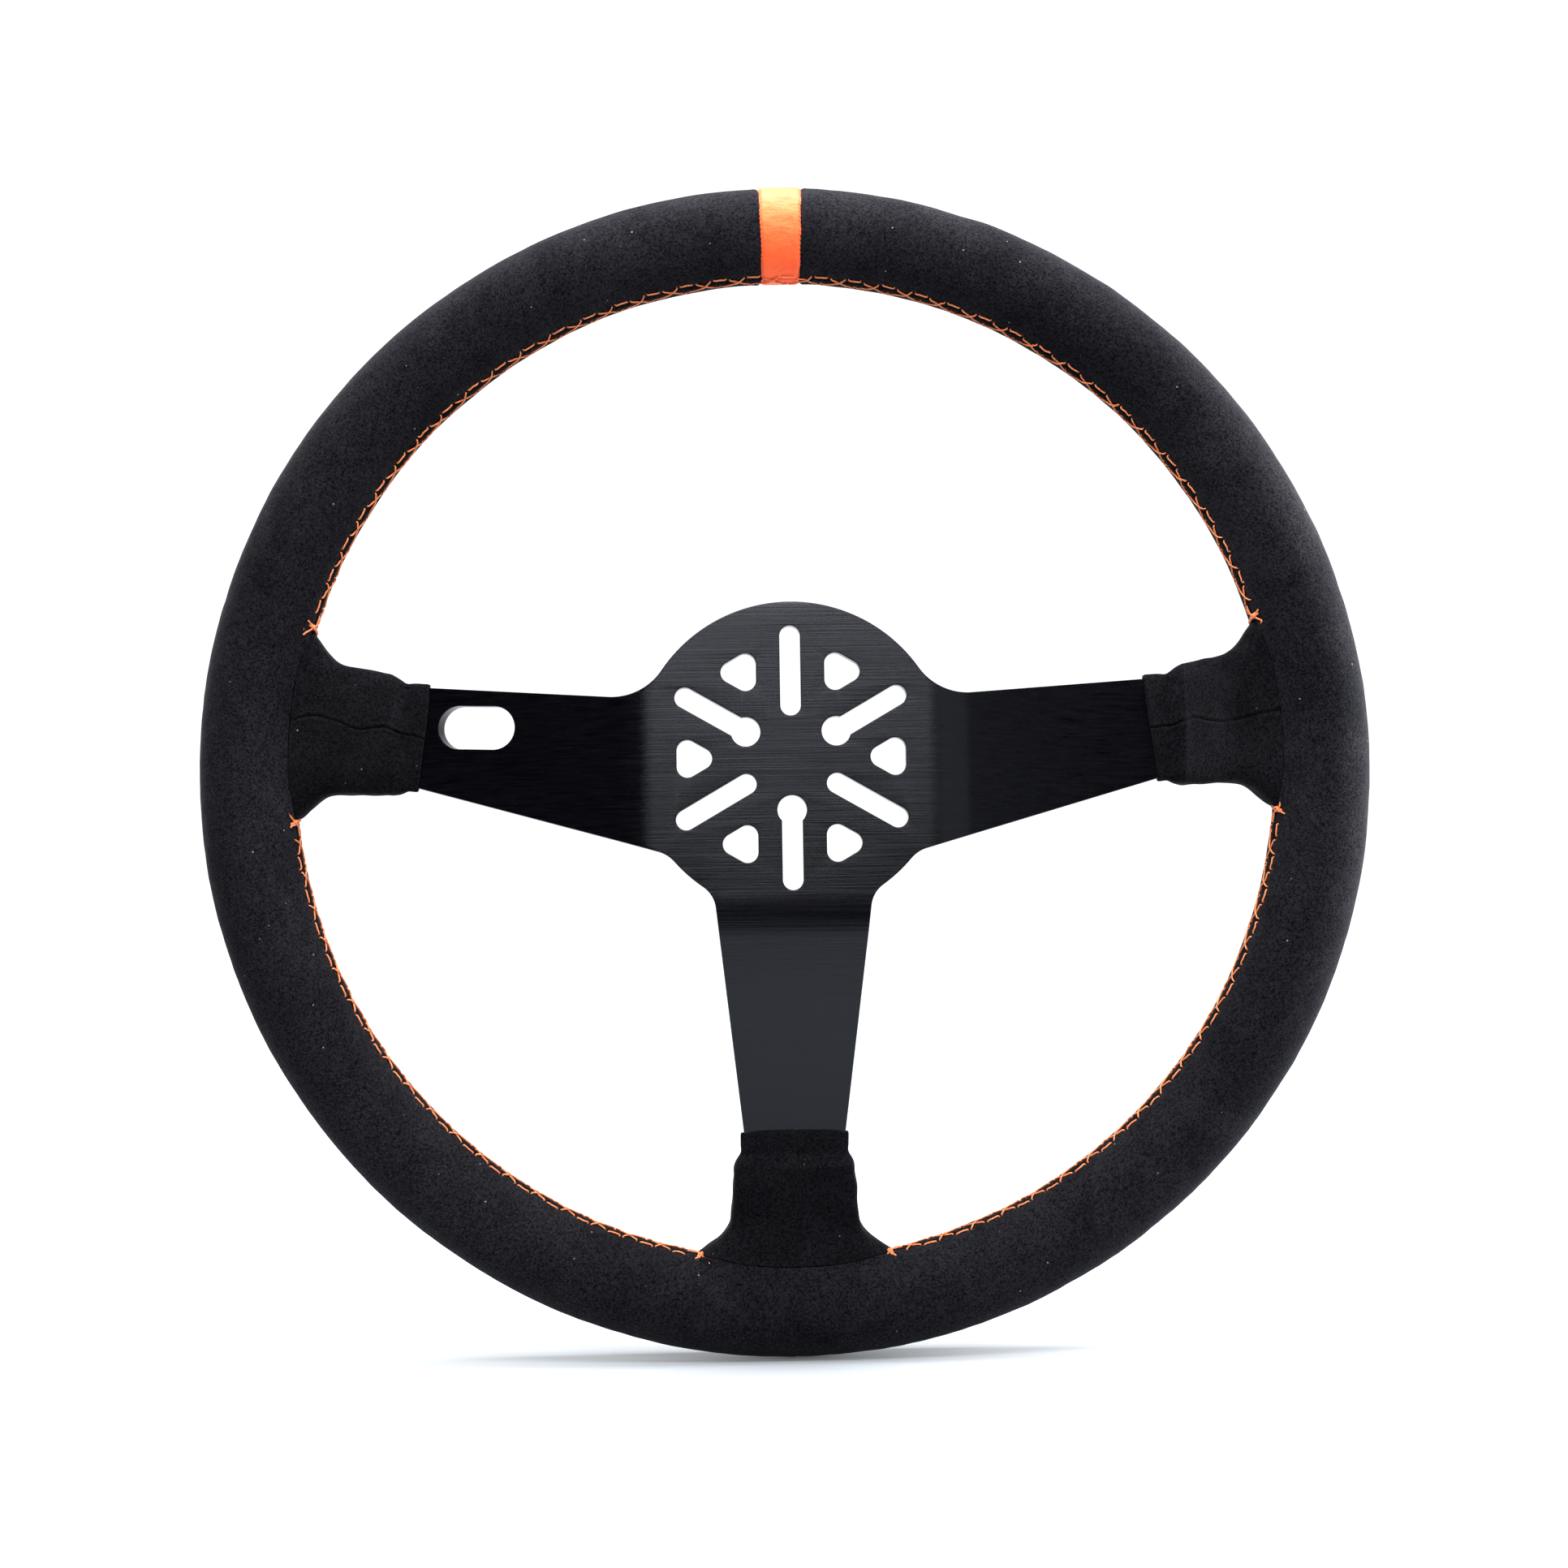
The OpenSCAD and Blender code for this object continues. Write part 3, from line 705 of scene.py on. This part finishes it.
def on_line(line, share):
    """Points at shares, 0 to 1, of a line's length."""
    at = np.linspace(0, 1, len(line))
    return np.stack([np.interp(share, at, line[:, k]) for k in (0, 1)], axis=-1)


def sleeve_side(shape, s, places, facing, shift):
    """One side of a sleeve, with its points' places across and shares of the length.

    s are the rows' shares of the length, and places the columns' places across. facing is 1 for the
    visible face. shift moves the columns of each row sideways, most in the middle.
    """
    low = smooth_line(shape["low"] + [rim_corner(shape, "from")], 400)
    high = smooth_line(shape["high"] + [rim_corner(shape, "to")], 400)
    end = smooth_line(shape["end"], 200)
    t = (places[None, :] + 1) / 2 + 0 * s[:, None]
    t = t + shift[:, None] * 4 * t * (1 - t)
    q = t * 2 - 1
    w = np.where(np.abs(q) < 1, thick_at(q), 0)
    ss = s[:, None] + 0 * t
    # the seam with the rim
    phi = SEAM_PHI * w
    rho = GRIP_R + (fillet_rho(phi) - GRIP_R) * w ** 3
    angle = np.radians(shape["from"] + t * (shape["to"] - shape["from"]))
    r = RING_R - rho * np.cos(phi)
    rim = np.stack([r * np.cos(angle), r * np.sin(angle)], axis=-1)
    # the plan: a patch between the two edges, the free end and the rim
    u, v = t[..., None], ss[..., None]
    plan = ((1 - u) * on_line(low, ss) + u * on_line(high, ss) + (1 - v) * on_line(end, t) + v * rim
            - (1 - v) * (1 - u) * low[0] - (1 - v) * u * high[0]
            - v * (1 - u) * np.array(rim_corner(shape, "from")) - v * u * np.array(rim_corner(shape, "to")))
    half, mid = pad_depth(plan[..., 0], shape)
    near_rim = step01((ss - 0.45) / 0.55)
    half_here = (1 - near_rim) * half * w + near_rim * rho * np.sin(phi)
    mid_here = (1 - near_rim) * mid + near_rim * DISH
    return np.stack([plan[..., 0], mid_here - facing * half_here, plan[..., 1]], axis=-1), q, ss


def sleeve_surface(shape, rows, cols, seam=None):
    """A sleeve without its relief, as a grid from the free end to the rim and once round.

    Gives the points, their outward normals, places across and shares of the length, and which
    columns are on the visible face. seam gives the face seam's place across for shares of the length.
    """
    across = across_profile(cols)
    s = np.concatenate([np.linspace(0, 1, rows), np.linspace(0, 0.03, 8), np.linspace(0.965, 1, 10)])
    s = np.unique(s)
    face_across, shift = across, 0 * s
    if seam is not None:
        # crowd the lines on the visible face round the seam
        face_across = np.unique(np.round(np.concatenate([across, np.linspace(-0.075, 0.075, 19)]), 5))
        shift = seam(s) / 2
    face = sleeve_side(shape, s, face_across, 1, shift)
    back = sleeve_side(shape, s, across, -1, 0 * s)
    grid, q, ss = (np.concatenate([f, b[:, -2:0:-1]], axis=1) for f, b in zip(face, back))
    normals = grid_normals(grid, True)
    if np.mean(normals[:, :10, 1]) > 0:
        normals = -normals
    return grid, normals, q, ss, np.arange(grid.shape[1]) < len(face_across)


def sleeve_relief(shape, seed, seam, grid, q, ss, on_face):
    """How far each point of a sleeve lies outside its plain surface."""
    run = ss * SLEEVE_LENGTH
    rim_gap = (1 - ss) * SLEEVE_LENGTH
    move = -0.15 * bell(rim_gap, 0.30)
    move += 0.16 * ripple(grid, 9, seed) * step01((run - 6) / 5) * step01(rim_gap / 5)
    move += 0.10 * ripple(grid, 22, seed + 1) * step01(rim_gap / 6)
    # a soft ridge where the skin lifts off the plate onto the pad, and the lip beyond it
    lift = grid[..., 0] - shape["pad_at"]
    move += 0.28 * bell(lift - 5.2, 1.3) * (0.6 + 0.4 * ripple(grid, 14, seed + 2))
    move -= 0.22 * bell(lift + 0.3, 1.2)
    move -= 0.25 * bell(run, 0.35)
    # the seam across the face: a groove that opens and closes, between two slight rolls
    gap = (q - seam(ss[:, :1])) * PAD_ACROSS
    openness = 0.75 + 0.25 * ripple(np.stack([run, 0 * ss, 0 * ss], axis=-1), 9, seed + 3)
    groove = -0.88 * bell(gap, 0.36) * openness + 0.13 * bell(np.abs(gap) - 1.0, 0.5)
    return move + on_face * groove


def turn_down(points):
    """From a layout along +X to the bottom spoke."""
    return np.stack([points[..., 2], points[..., 1], -points[..., 0]], axis=-1)


def mirrored(points):
    return points * np.array([-1, 1, 1])


def fix_normals(obj):
    bm = bmesh.new()
    bm.from_mesh(obj.data)
    bmesh.ops.recalc_face_normals(bm, faces=bm.faces)
    bm.to_mesh(obj.data)
    bm.free()
    return obj


def make_skin(name, node, outer, inner, wrap, material, slot, sharp):
    """A closed skin in place of a CAD node. An edge sharper than sharp degrees stays hard."""
    vertices, faces = shell_mesh(outer, inner, wrap)
    obj = fix_normals(make_object(name, vertices, faces, material))
    obj.data.set_sharp_from_angle(angle=math.radians(sharp))
    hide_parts(node)
    return obj


def seam_along(points):
    """The seam through points, each a share of the sleeve's length and a place across."""
    line = smooth_line(points, 200)
    return lambda s: np.interp(s, line[:, 0], line[:, 1])


def bottom_seam(s):
    return 0.03 + 0.02 * np.sin(5 * s)


right_seam = seam_along([(0, -0.005), (0.12, 0.03), (0.27, 0.09), (0.38, 0.03), (0.48, -0.04), (0.59, -0.04),
                         (0.76, 0), (0.9, 0.01), (1, 0.017)])
left_seam = seam_along([(0, -0.03), (0.12, 0.05), (0.25, 0.12), (0.34, 0.09), (0.46, 0.03), (0.61, 0.12),
                        (0.76, 0.16), (0.9, 0.10), (1, 0.03)])


def make_sleeve(name, node, shape, seed, seam, place):
    grid, normals, *at = sleeve_surface(shape, 150, 104, seam)
    move = sleeve_relief(shape, seed, seam, grid, *at)
    outer = grid + normals * move[..., None]
    inner = outer - normals * np.maximum(SUEDE_T - 0.05 + move, 0.12)[..., None]
    return make_skin(name, node, place(outer), place(inner), True, SUEDE_SLEEVE_NAP_AND_SHADE, "suede_black", 60)


sleeve_right = make_sleeve("sleeve_right_suede", "sleeve_right", SIDE, 11, right_seam, lambda p: p)
sleeve_left = make_sleeve("sleeve_left_suede", "sleeve_left", SIDE, 23, left_seam, mirrored)
sleeve_bottom = make_sleeve("sleeve_bottom_suede", "sleeve_bottom", BOTTOM, 37, bottom_seam, turn_down)


# ---- Lacing: where its stitches go ----
# One stitch, going clockwise as the camera sees it, as lines of (distance along the edge in mm, phi in
# degrees, lift in mm). Both threads of a cross dive into holes at their ends. The dash between two crosses
# lies on the visible side, and the far dash beyond the innermost line.
STITCH_LEN = 11.0
DASH = [(0, 20.8, -0.5), (0.4, 21.1, 0.04), (2.05, 21.6, 0.2), (3.7, 21.0, 0.04), (4.1, 20.6, -0.5)]
UNDER = [(5.2, 18.4, -0.5), (5.55, 17.8, 0.06), (7.9, 13.5, 0.08), (9.8, 8.6, 0.12), (10.8, 5.2, 0.04),
         (11.1, 4.2, -0.5)]
OVER = [(2.5, 2.6, -0.5), (2.95, 3.3, 0.06), (4.8, 6.1, 0.15), (6.5, 9.8, 0.35), (7.9, 13.5, 0.55),
        (9.0, 17.0, 0.32), (9.75, 19.7, 0.05), (9.95, 20.4, -0.5)]
FAR_DASH = [(0.0, 4.6, -0.5), (0.35, 4.2, 0.05), (1.1, 3.5, 0.16), (1.9, 3.8, 0.05), (2.25, 4.4, -0.5)]
THREAD_R = 0.26
# first and last angle of each run of lacing, clockwise, in degrees
RUNS = {"top": (162.6, 17.4), "right": (-6.3, -78.6), "left": (258.6, 186.3)}
# how far the first and the last stitch of a run stay from its knots, in mm
RUN_ENDS = (3.7, 3.2)
# how far a knot lies beyond its end of the run, in degrees
KNOT_SHIFT = 0.45


def run_units(name):
    """The start angle of each stitch of a run and the angle that a stitch takes, in radians."""
    start = math.radians(RUNS[name][0]) - RUN_ENDS[0] / INNER_R
    end = math.radians(RUNS[name][1]) + RUN_ENDS[1] / INNER_R
    count = int(round((start - end) * INNER_R / STITCH_LEN))
    return [start - (start - end) * i / count for i in range(count)], (start - end) / count


def stripe_half(r):
    """Half the width of the orange stripe at distance r from the wheel's middle."""
    return 6.2 + 0.75 * (r - INNER_R) / (2 * GRIP_R)


def stitch_holes():
    """Where the thread goes through the suede: angles round the wheel and round the grip."""
    holes = []
    for name in RUNS:
        starts, step = run_units(name)
        scale = step / STITCH_LEN
        for a in starts:
            for path in (DASH, UNDER, OVER):
                for s, phi, _ in (path[0], path[-1]):
                    holes.append((a - s * scale, math.radians(phi)))
    return holes


HOLES = stitch_holes()


# ---- Rim cover ----
# the radius of the inside of the skin, and the angle round the wheel that a hole's dent reaches
SKIN_INNER_R = GRIP_R - SUEDE_T + 0.12
HOLE_REACH = 0.02


def clustered(low, high, step, centres, reach, fine):
    """Values from low to high, step apart, and fine apart within reach of each centre."""
    values = [np.arange(low, high, step), [high]]
    for c in centres:
        values.append(np.arange(max(low, c - reach), min(high, c + reach), fine))
    v = np.unique(np.round(np.concatenate(values), 4))
    keep = np.concatenate([[True], np.diff(v) > fine * 0.45])
    v = v[keep]
    v[-1] = high
    return v


def cover_grid(seed):
    """Both faces of the right half of the rim's suede, from the bottom up to the stripe.

    Beside a sleeve it ends at the sleeve's seam, and elsewhere at the stitched seam.
    """
    borders = [SIDE["from"], SIDE["to"], -90 + BOTTOM["to"]]
    top_nominal = 90 - math.degrees(math.asin(stripe_half(RING_R) / RING_R))
    columns = clustered(-90, top_nominal, 0.25, borders, 0.9, 0.06)
    a_col = np.radians(columns)[:, None]
    share = clustered(0, 1, 0.011, [0, 1], 0.03, 0.0035)
    weight = np.zeros_like(a_col)
    for shape, turn in ((SIDE, 0), (BOTTOM, -90)):
        place = zone_place(np.degrees(a_col) - turn, shape)
        weight += thick_at(place) * (np.abs(place) < 1)
    in_zone = weight > 0
    gap = np.where(in_zone, 0.003, 0.010)
    lo = np.maximum(SEAM_PHI * weight, STITCH_PHI) + gap
    hi = np.where(in_zone, 2 * np.pi - SEAM_PHI * weight, 2 * np.pi + STITCH_PHI) - gap
    phi = lo + (hi - lo) * share[None, :]
    signed = np.where(phi > np.pi, phi - 2 * np.pi, phi)
    a = a_col + 0 * phi
    rho = GRIP_R + (fillet_rho(signed) - GRIP_R) * (np.abs(signed) < FILLET_AT) * weight ** 3
    # the ends of the suede beside the stripe
    r = RING_R - rho * np.cos(phi)
    end = np.pi / 2 - np.arcsin((stripe_half(r) + 0.08) / r)
    a = a + (end - math.radians(top_nominal)) * step01((columns[:, None] - 80) / (top_nominal - 80))
    stripe_gap = (end - a) * r
    points = grip_points(a, phi, rho)
    low_gap, high_gap = (phi - lo) * GRIP_R, (hi - phi) * GRIP_R
    edge = np.minimum(low_gap, high_gap)
    move = np.where(in_zone, -0.18, -0.42) * bell(edge, 0.40) + 0.07 * bell(edge - 1.3, 0.8)
    move -= 0.55 * bell(stripe_gap, 0.45) - 0.08 * bell(stripe_gap - 1.2, 0.8)
    move -= 0.16 * bell((a + np.pi / 2) * r, 0.24)
    move += 0.10 * ripple(points, 26, seed) + 0.045 * ripple(points, 7, seed + 1)
    # a dent at each hole
    for hole_a, hole_phi in HOLES:
        for place in (hole_a, hole_a - 2 * math.pi):
            first, last = np.searchsorted(a_col[:, 0], [place - HOLE_REACH, place + HOLE_REACH])
            if first == last:
                continue
            block = slice(first, last)
            along = (a[block] - place) * INNER_R
            over = (signed[block] - hole_phi) * GRIP_R
            over_far = (phi[block] - 2 * np.pi - hole_phi) * GRIP_R
            dist = np.hypot(along, np.minimum(np.abs(over), np.abs(over_far)))
            move[block] -= 0.26 * bell(dist, 0.6) + 0.05 * bell(dist, 1.8)
    rho = rho + move
    lift = np.maximum(rho - GRIP_R - 0.3, 0)
    inner = np.minimum(SKIN_INNER_R + lift, rho - 0.12)
    return grip_points(a, phi, rho), grip_points(a, phi, inner)


def make_cover(name, node, seed, place):
    outer, inner = cover_grid(seed)
    return make_skin(name, node, place(outer), place(inner), False, SUEDE_RIM, "suede_black", 70)


cover_right = make_cover("cover_right_suede", "cover_right", 51, lambda p: p)
cover_left = make_cover("cover_left_suede", "cover_left", 67, mirrored)


# ---- Centre stripe ----
def make_stripe():
    """The leather band, with pinked side edges that are pressed down, and wrinkles across it."""
    across = clustered(-1, 1, 0.05, [-1, 1], 0.12, 0.02)
    turn = np.linspace(STITCH_PHI + 0.008, 2 * np.pi + STITCH_PHI - 0.008, 300)
    phi = turn[:, None] + 0 * across[None, :]
    q = across[None, :] + 0 * phi
    r = RING_R - GRIP_R * np.cos(phi)
    run = phi * GRIP_R
    # the two side edges differ
    side = np.where(q > 0, 3.0, 0.0)
    wobble = ripple(np.stack([run, side * 40, 0 * run], axis=-1), 5, 71)
    pinked = 0.13 * np.sin(2 * np.pi * run / 1.55 + side) + 0.16 * wobble
    half = stripe_half(r) - 0.10 + pinked * np.abs(q) ** 6
    a = np.pi / 2 - np.arcsin(q * half / r)
    inward = (1 - np.abs(q)) * half
    seam_gap = np.minimum(phi - phi[:1], phi[-1:] - phi) * GRIP_R
    rho = GRIP_R + 0.26 - 0.62 * bell(inward, 0.55) - 0.55 * bell(seam_gap, 0.5)
    points = grip_points(a, phi, GRIP_R)
    wrinkle = ripple(points * np.array([0.35, 1, 1]), 2.4, 75) * step01(inward / 1.5)
    rho += 0.05 * ripple(points, 4.5, 73) + 0.05 * wrinkle
    grids = grip_points(a, phi, rho), grip_points(a, phi, np.full_like(rho, SKIN_INNER_R))
    return make_skin("centre_stripe_leather", "centre_stripe", *grids, False, STRIPE, "stripe_orange", 60)


stripe = make_stripe()


# ---- Inside the grip ----
def ring_mesh(rho, inward, around=240, sides=40):
    """A closed ring surface inside the grip. inward is set for the wall of a cavity."""
    a = np.linspace(0, 2 * np.pi, around, endpoint=False)[:, None]
    phi = np.linspace(0, 2 * np.pi, sides, endpoint=False)[None, :]
    points = grip_points(a + 0 * phi, phi + 0 * a, rho + 0 * a + 0 * phi)
    faces = []
    for i in range(around):
        for j in range(sides):
            m, k = (i + 1) % around, (j + 1) % sides
            face = (i * sides + j, m * sides + j, m * sides + k, i * sides + k)
            faces.append(face[::-1] if inward else face)
    return points.reshape(-1, 3), faces


def make_foam():
    """The foam ring with its cavity for the hoop, and the foam layer of each pad."""
    parts = [ring_mesh(GRIP_R - SUEDE_T - 0.15, False), ring_mesh(GRIP_R - 5.2, True)]
    for shape, place in ((SIDE, lambda p: p), (SIDE, mirrored), (BOTTOM, turn_down)):
        skin, normals = sleeve_surface(shape, 70, 60)[:2]
        keep = skin[:, :, 0].min(axis=1) > shape["pad_at"] + 4
        skin, normals = skin[keep], normals[keep]
        parts.append(shell_mesh(place(skin - normals * 1.1), place(skin - normals * 2.6), True))
    vertices, faces = joined(parts)
    obj = make_object("grip_foam_core", vertices, faces, FOAM)
    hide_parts("grip_foam")
    return obj


foam = make_foam()
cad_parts["rim_hoop"].data.materials[0] = alloy_material("bare_alloy", 0.62)
RIVET_ALLOY = alloy_material("rivet_alloy", 0.70)
for rivet_node in ("rivets_left", "rivets_right", "rivets_bottom"):
    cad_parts[rivet_node].data.materials[0] = RIVET_ALLOY


# ---- Lacing thread ----
def over_grip(line, count):
    """A smooth line over the grip through places, each a distance along its inner edge, phi and rho."""
    line = smooth_line([(along, phi * GRIP_R, rho) for along, phi, rho in line], count)
    return grip_points(line[:, 0] / INNER_R, line[:, 1] / GRIP_R, line[:, 2])


def thread_path(start, scale, path, rng):
    """The line of one strand of a stitch that starts at angle start."""
    jitter = rng.uniform(-1, 1, size=(len(path), 3)) * np.array([0.16, 1.0, 0.05])
    places = []
    for (s, phi, lift), j in zip(path, jitter):
        along = (start - (s + j[0]) * scale) * INNER_R
        if lift > 0:
            lift += j[2]
        if abs(along - math.pi / 2 * INNER_R) < stripe_half(INNER_R) + 0.4:
            lift += 0.3
        places.append((along, math.radians(phi + j[1]), GRIP_R + THREAD_R * 0.75 + lift))
    return over_grip(places, 5 * len(path))


def knot_strands(a, toward, rng):
    """The strands of an end knot at angle a, each a line and a radius.

    toward is +1 if the lacing leaves it clockwise. Each strand is given as places like a stitch's,
    with the lacing on the side of the larger distances.
    """
    strands = []

    def strand(path, radius):
        places = [(a * INNER_R - toward * s, math.radians(phi), GRIP_R + lift) for s, phi, lift in path]
        strands.append((over_grip(places, 24), radius))

    # two wraps over the seam
    lean = rng.uniform(-0.3, 0.3)
    for k, s in enumerate((0, 0.5)):
        strand([(s - 1.9 + lean, -8, 0.0), (s - 1.4 + lean, -2, 0.34), (s - 0.7, 9, 0.42),
                (s - 0.1, 18, 0.75 - 0.1 * k), (s + 0.3, 24, 0.5), (s + 0.45, 26.5, -0.4)], 0.38)
    # the loop
    turns = np.linspace(0, 3.4 * math.pi, 15)
    strand([(0.1 + (0.66 - 0.02 * v) * math.cos(v), 20 + (3.2 - 0.1 * v) * math.sin(v), 0.80 + 0.05 * v)
            for v in turns], 0.36)
    # two feeders from the lacing
    for phi in (2.5, 7.5):
        strand([(4.6, phi, -0.4), (3.8, phi + 0.5, 0.1), (2.2, phi + 2, 0.24), (1.2, 11, 0.34),
                (0.5, 17, 0.62), (0.1, 21, 0.9)], 0.27)
    # two cut tails
    strand([(0, 22, 0.7), (-0.9, 24, 0.55), (-2.1, 27 + rng.uniform(-3, 4), 0.5),
            (-3.2, 29 + rng.uniform(-3, 5), 0.45)], 0.29)
    strand([(0.2, 22, 0.6), (0.9, 26, 0.45), (1.6, 29 + rng.uniform(-2, 4), 0.2)], 0.26)
    return strands


def make_lacing(run, seed):
    """The thread of one run: its stitches and the two knots."""
    rng = np.random.default_rng(seed)
    starts, step = run_units(run)
    scale = step / STITCH_LEN
    meshes = []
    for start in starts:
        for path in (DASH, UNDER, OVER, FAR_DASH):
            thick = THREAD_R * rng.uniform(0.92, 1.06)
            line = thread_path(start, scale, path, rng)
            taper = np.ones(len(line))
            taper[[0, -1]] = 0.7
            meshes.append(tube_mesh(line, thick * taper))
    for a, toward in ((RUNS[run][0], 1), (RUNS[run][1], -1)):
        for line, radius in knot_strands(math.radians(a + toward * KNOT_SHIFT), toward, rng):
            meshes.append(tube_mesh(line, radius))
    vertices, faces = joined(meshes)
    obj = fix_normals(make_object(f"lacing_{run}_thread", vertices, faces, THREAD))
    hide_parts(f"lacing_{run}")


for run, seed in (("top", 81), ("right", 83), ("left", 85)):
    make_lacing(run, seed)


# ---- Floor, backdrop and light ----
# in metres
FLOOR_FRONT = -0.20
FLOOR_REACH = 30.0
# within this distance of the rim the floor's glow fades: painted shade round the contact
FLOOR_PAINTED_SHADE_FROM, FLOOR_PAINTED_SHADE_TO = 0.0, 0.20
# how bright the backdrop is to the camera
BACKDROP = 1.15


def make_floor():
    """A white sweep under the wheel. It glows more away from the rim, so the dim glow near the rim is a
    painted shade round the contact, on top of the real contact shadow.
    """
    n = Nodes("floor_white")
    reach = n.tree.nodes.new("ShaderNodeVectorMath")
    reach.operation = "LENGTH"
    around = n.stretched((0.8, 1, 0))
    fill(around.node, Location=(0, -DISH * MM, 0))
    n.put(reach.inputs[0], around)
    n.set(Base_Color=(0.30, 0.32, 0.35, 1), Roughness=0.6, Specular_IOR_Level=0.2)
    # painted contact shade: the glow falls from 1.12 to 0.06 towards the rim
    glow_with_painted_shade = n.ramp(reach.outputs["Value"], FLOOR_PAINTED_SHADE_FROM, FLOOR_PAINTED_SHADE_TO, 0.06, 1.12)
    n.set(Emission_Color=(0.93, 0.97, 1, 1), Emission_Strength=glow_with_painted_shade)
    z = -(OUTER_R + 0.15) * MM
    corners = [(-FLOOR_REACH, FLOOR_FRONT, z), (FLOOR_REACH, FLOOR_FRONT, z),
               (FLOOR_REACH, FLOOR_REACH, z), (-FLOOR_REACH, FLOOR_REACH, z)]
    mesh = bpy.data.meshes.new("floor")
    mesh.from_pydata(corners, [], [(0, 1, 2, 3)])
    mesh.materials.append(n.material)
    new_object("floor", mesh)


def make_world():
    """Pale all round to look at, but it lights the wheel mostly from behind."""
    world = bpy.data.worlds.new("studio")
    bpy.context.scene.world = world
    world.use_nodes = True
    tree = world.node_tree
    back = tree.nodes["Background"]
    place = tree.nodes.new("ShaderNodeTexCoord")
    split = tree.nodes.new("ShaderNodeSeparateXYZ")
    tree.links.new(place.outputs["Generated"], split.inputs[0])
    ramp = tree.nodes.new("ShaderNodeMapRange")
    fill(ramp, From_Min=0.30, From_Max=0.80, To_Min=0.03, To_Max=BACKDROP)
    tree.links.new(split.outputs["Y"], ramp.inputs["Value"])
    seen = tree.nodes.new("ShaderNodeLightPath")
    mix = tree.nodes.new("ShaderNodeMix")
    mix.data_type = "FLOAT"
    tree.links.new(seen.outputs["Is Camera Ray"], mix.inputs["Factor"])
    tree.links.new(ramp.outputs["Result"], mix.inputs[2])
    mix.inputs[3].default_value = BACKDROP
    tree.links.new(mix.outputs[0], back.inputs["Strength"])
    back.inputs["Color"].default_value = (0.985, 0.992, 1.0, 1)


def softbox(name, place, aim, size, radiance):
    """A rectangular light. radiance is how bright its face is, where the backdrop is about 1."""
    data = bpy.data.lights.new(name, "AREA")
    data.shape = "RECTANGLE"
    data.size, data.size_y = size
    data.energy = radiance * math.pi * size[0] * size[1]
    light = new_object(name, data)
    light.location = place
    light.rotation_euler = (Vector(aim) - Vector(place)).to_track_quat("-Z", "Y").to_euler()


make_floor()
make_world()
softbox("above_camera", (0.0, -1.5, 0.29), (0.0, 0, 0.29), (0.62, 0.22), 6.4)
softbox("front_fill", (0.0, -1.3, 0.60), (0, 0, 0.1), (0.5, 0.3), 16.0)
softbox("right_front", (0.81, -1.2, 0.10), (0.81, 0, 0.10), (0.97, 0.9), 0.98)
softbox("top_front", (0.0, -0.38, 0.58), (0, 0, 0.12), (0.7, 0.25), 15.5)
softbox("overhead", (0.0, 0.04, 0.55), (0, 0.04, 0), (0.75, 0.34), 15.5)
softbox("right_side", (0.30, 0.04, 0.06), (0.17, 0.04, 0.04), (0.06, 0.34), 30.0)
bpy.context.scene.view_settings.view_transform = "Standard"
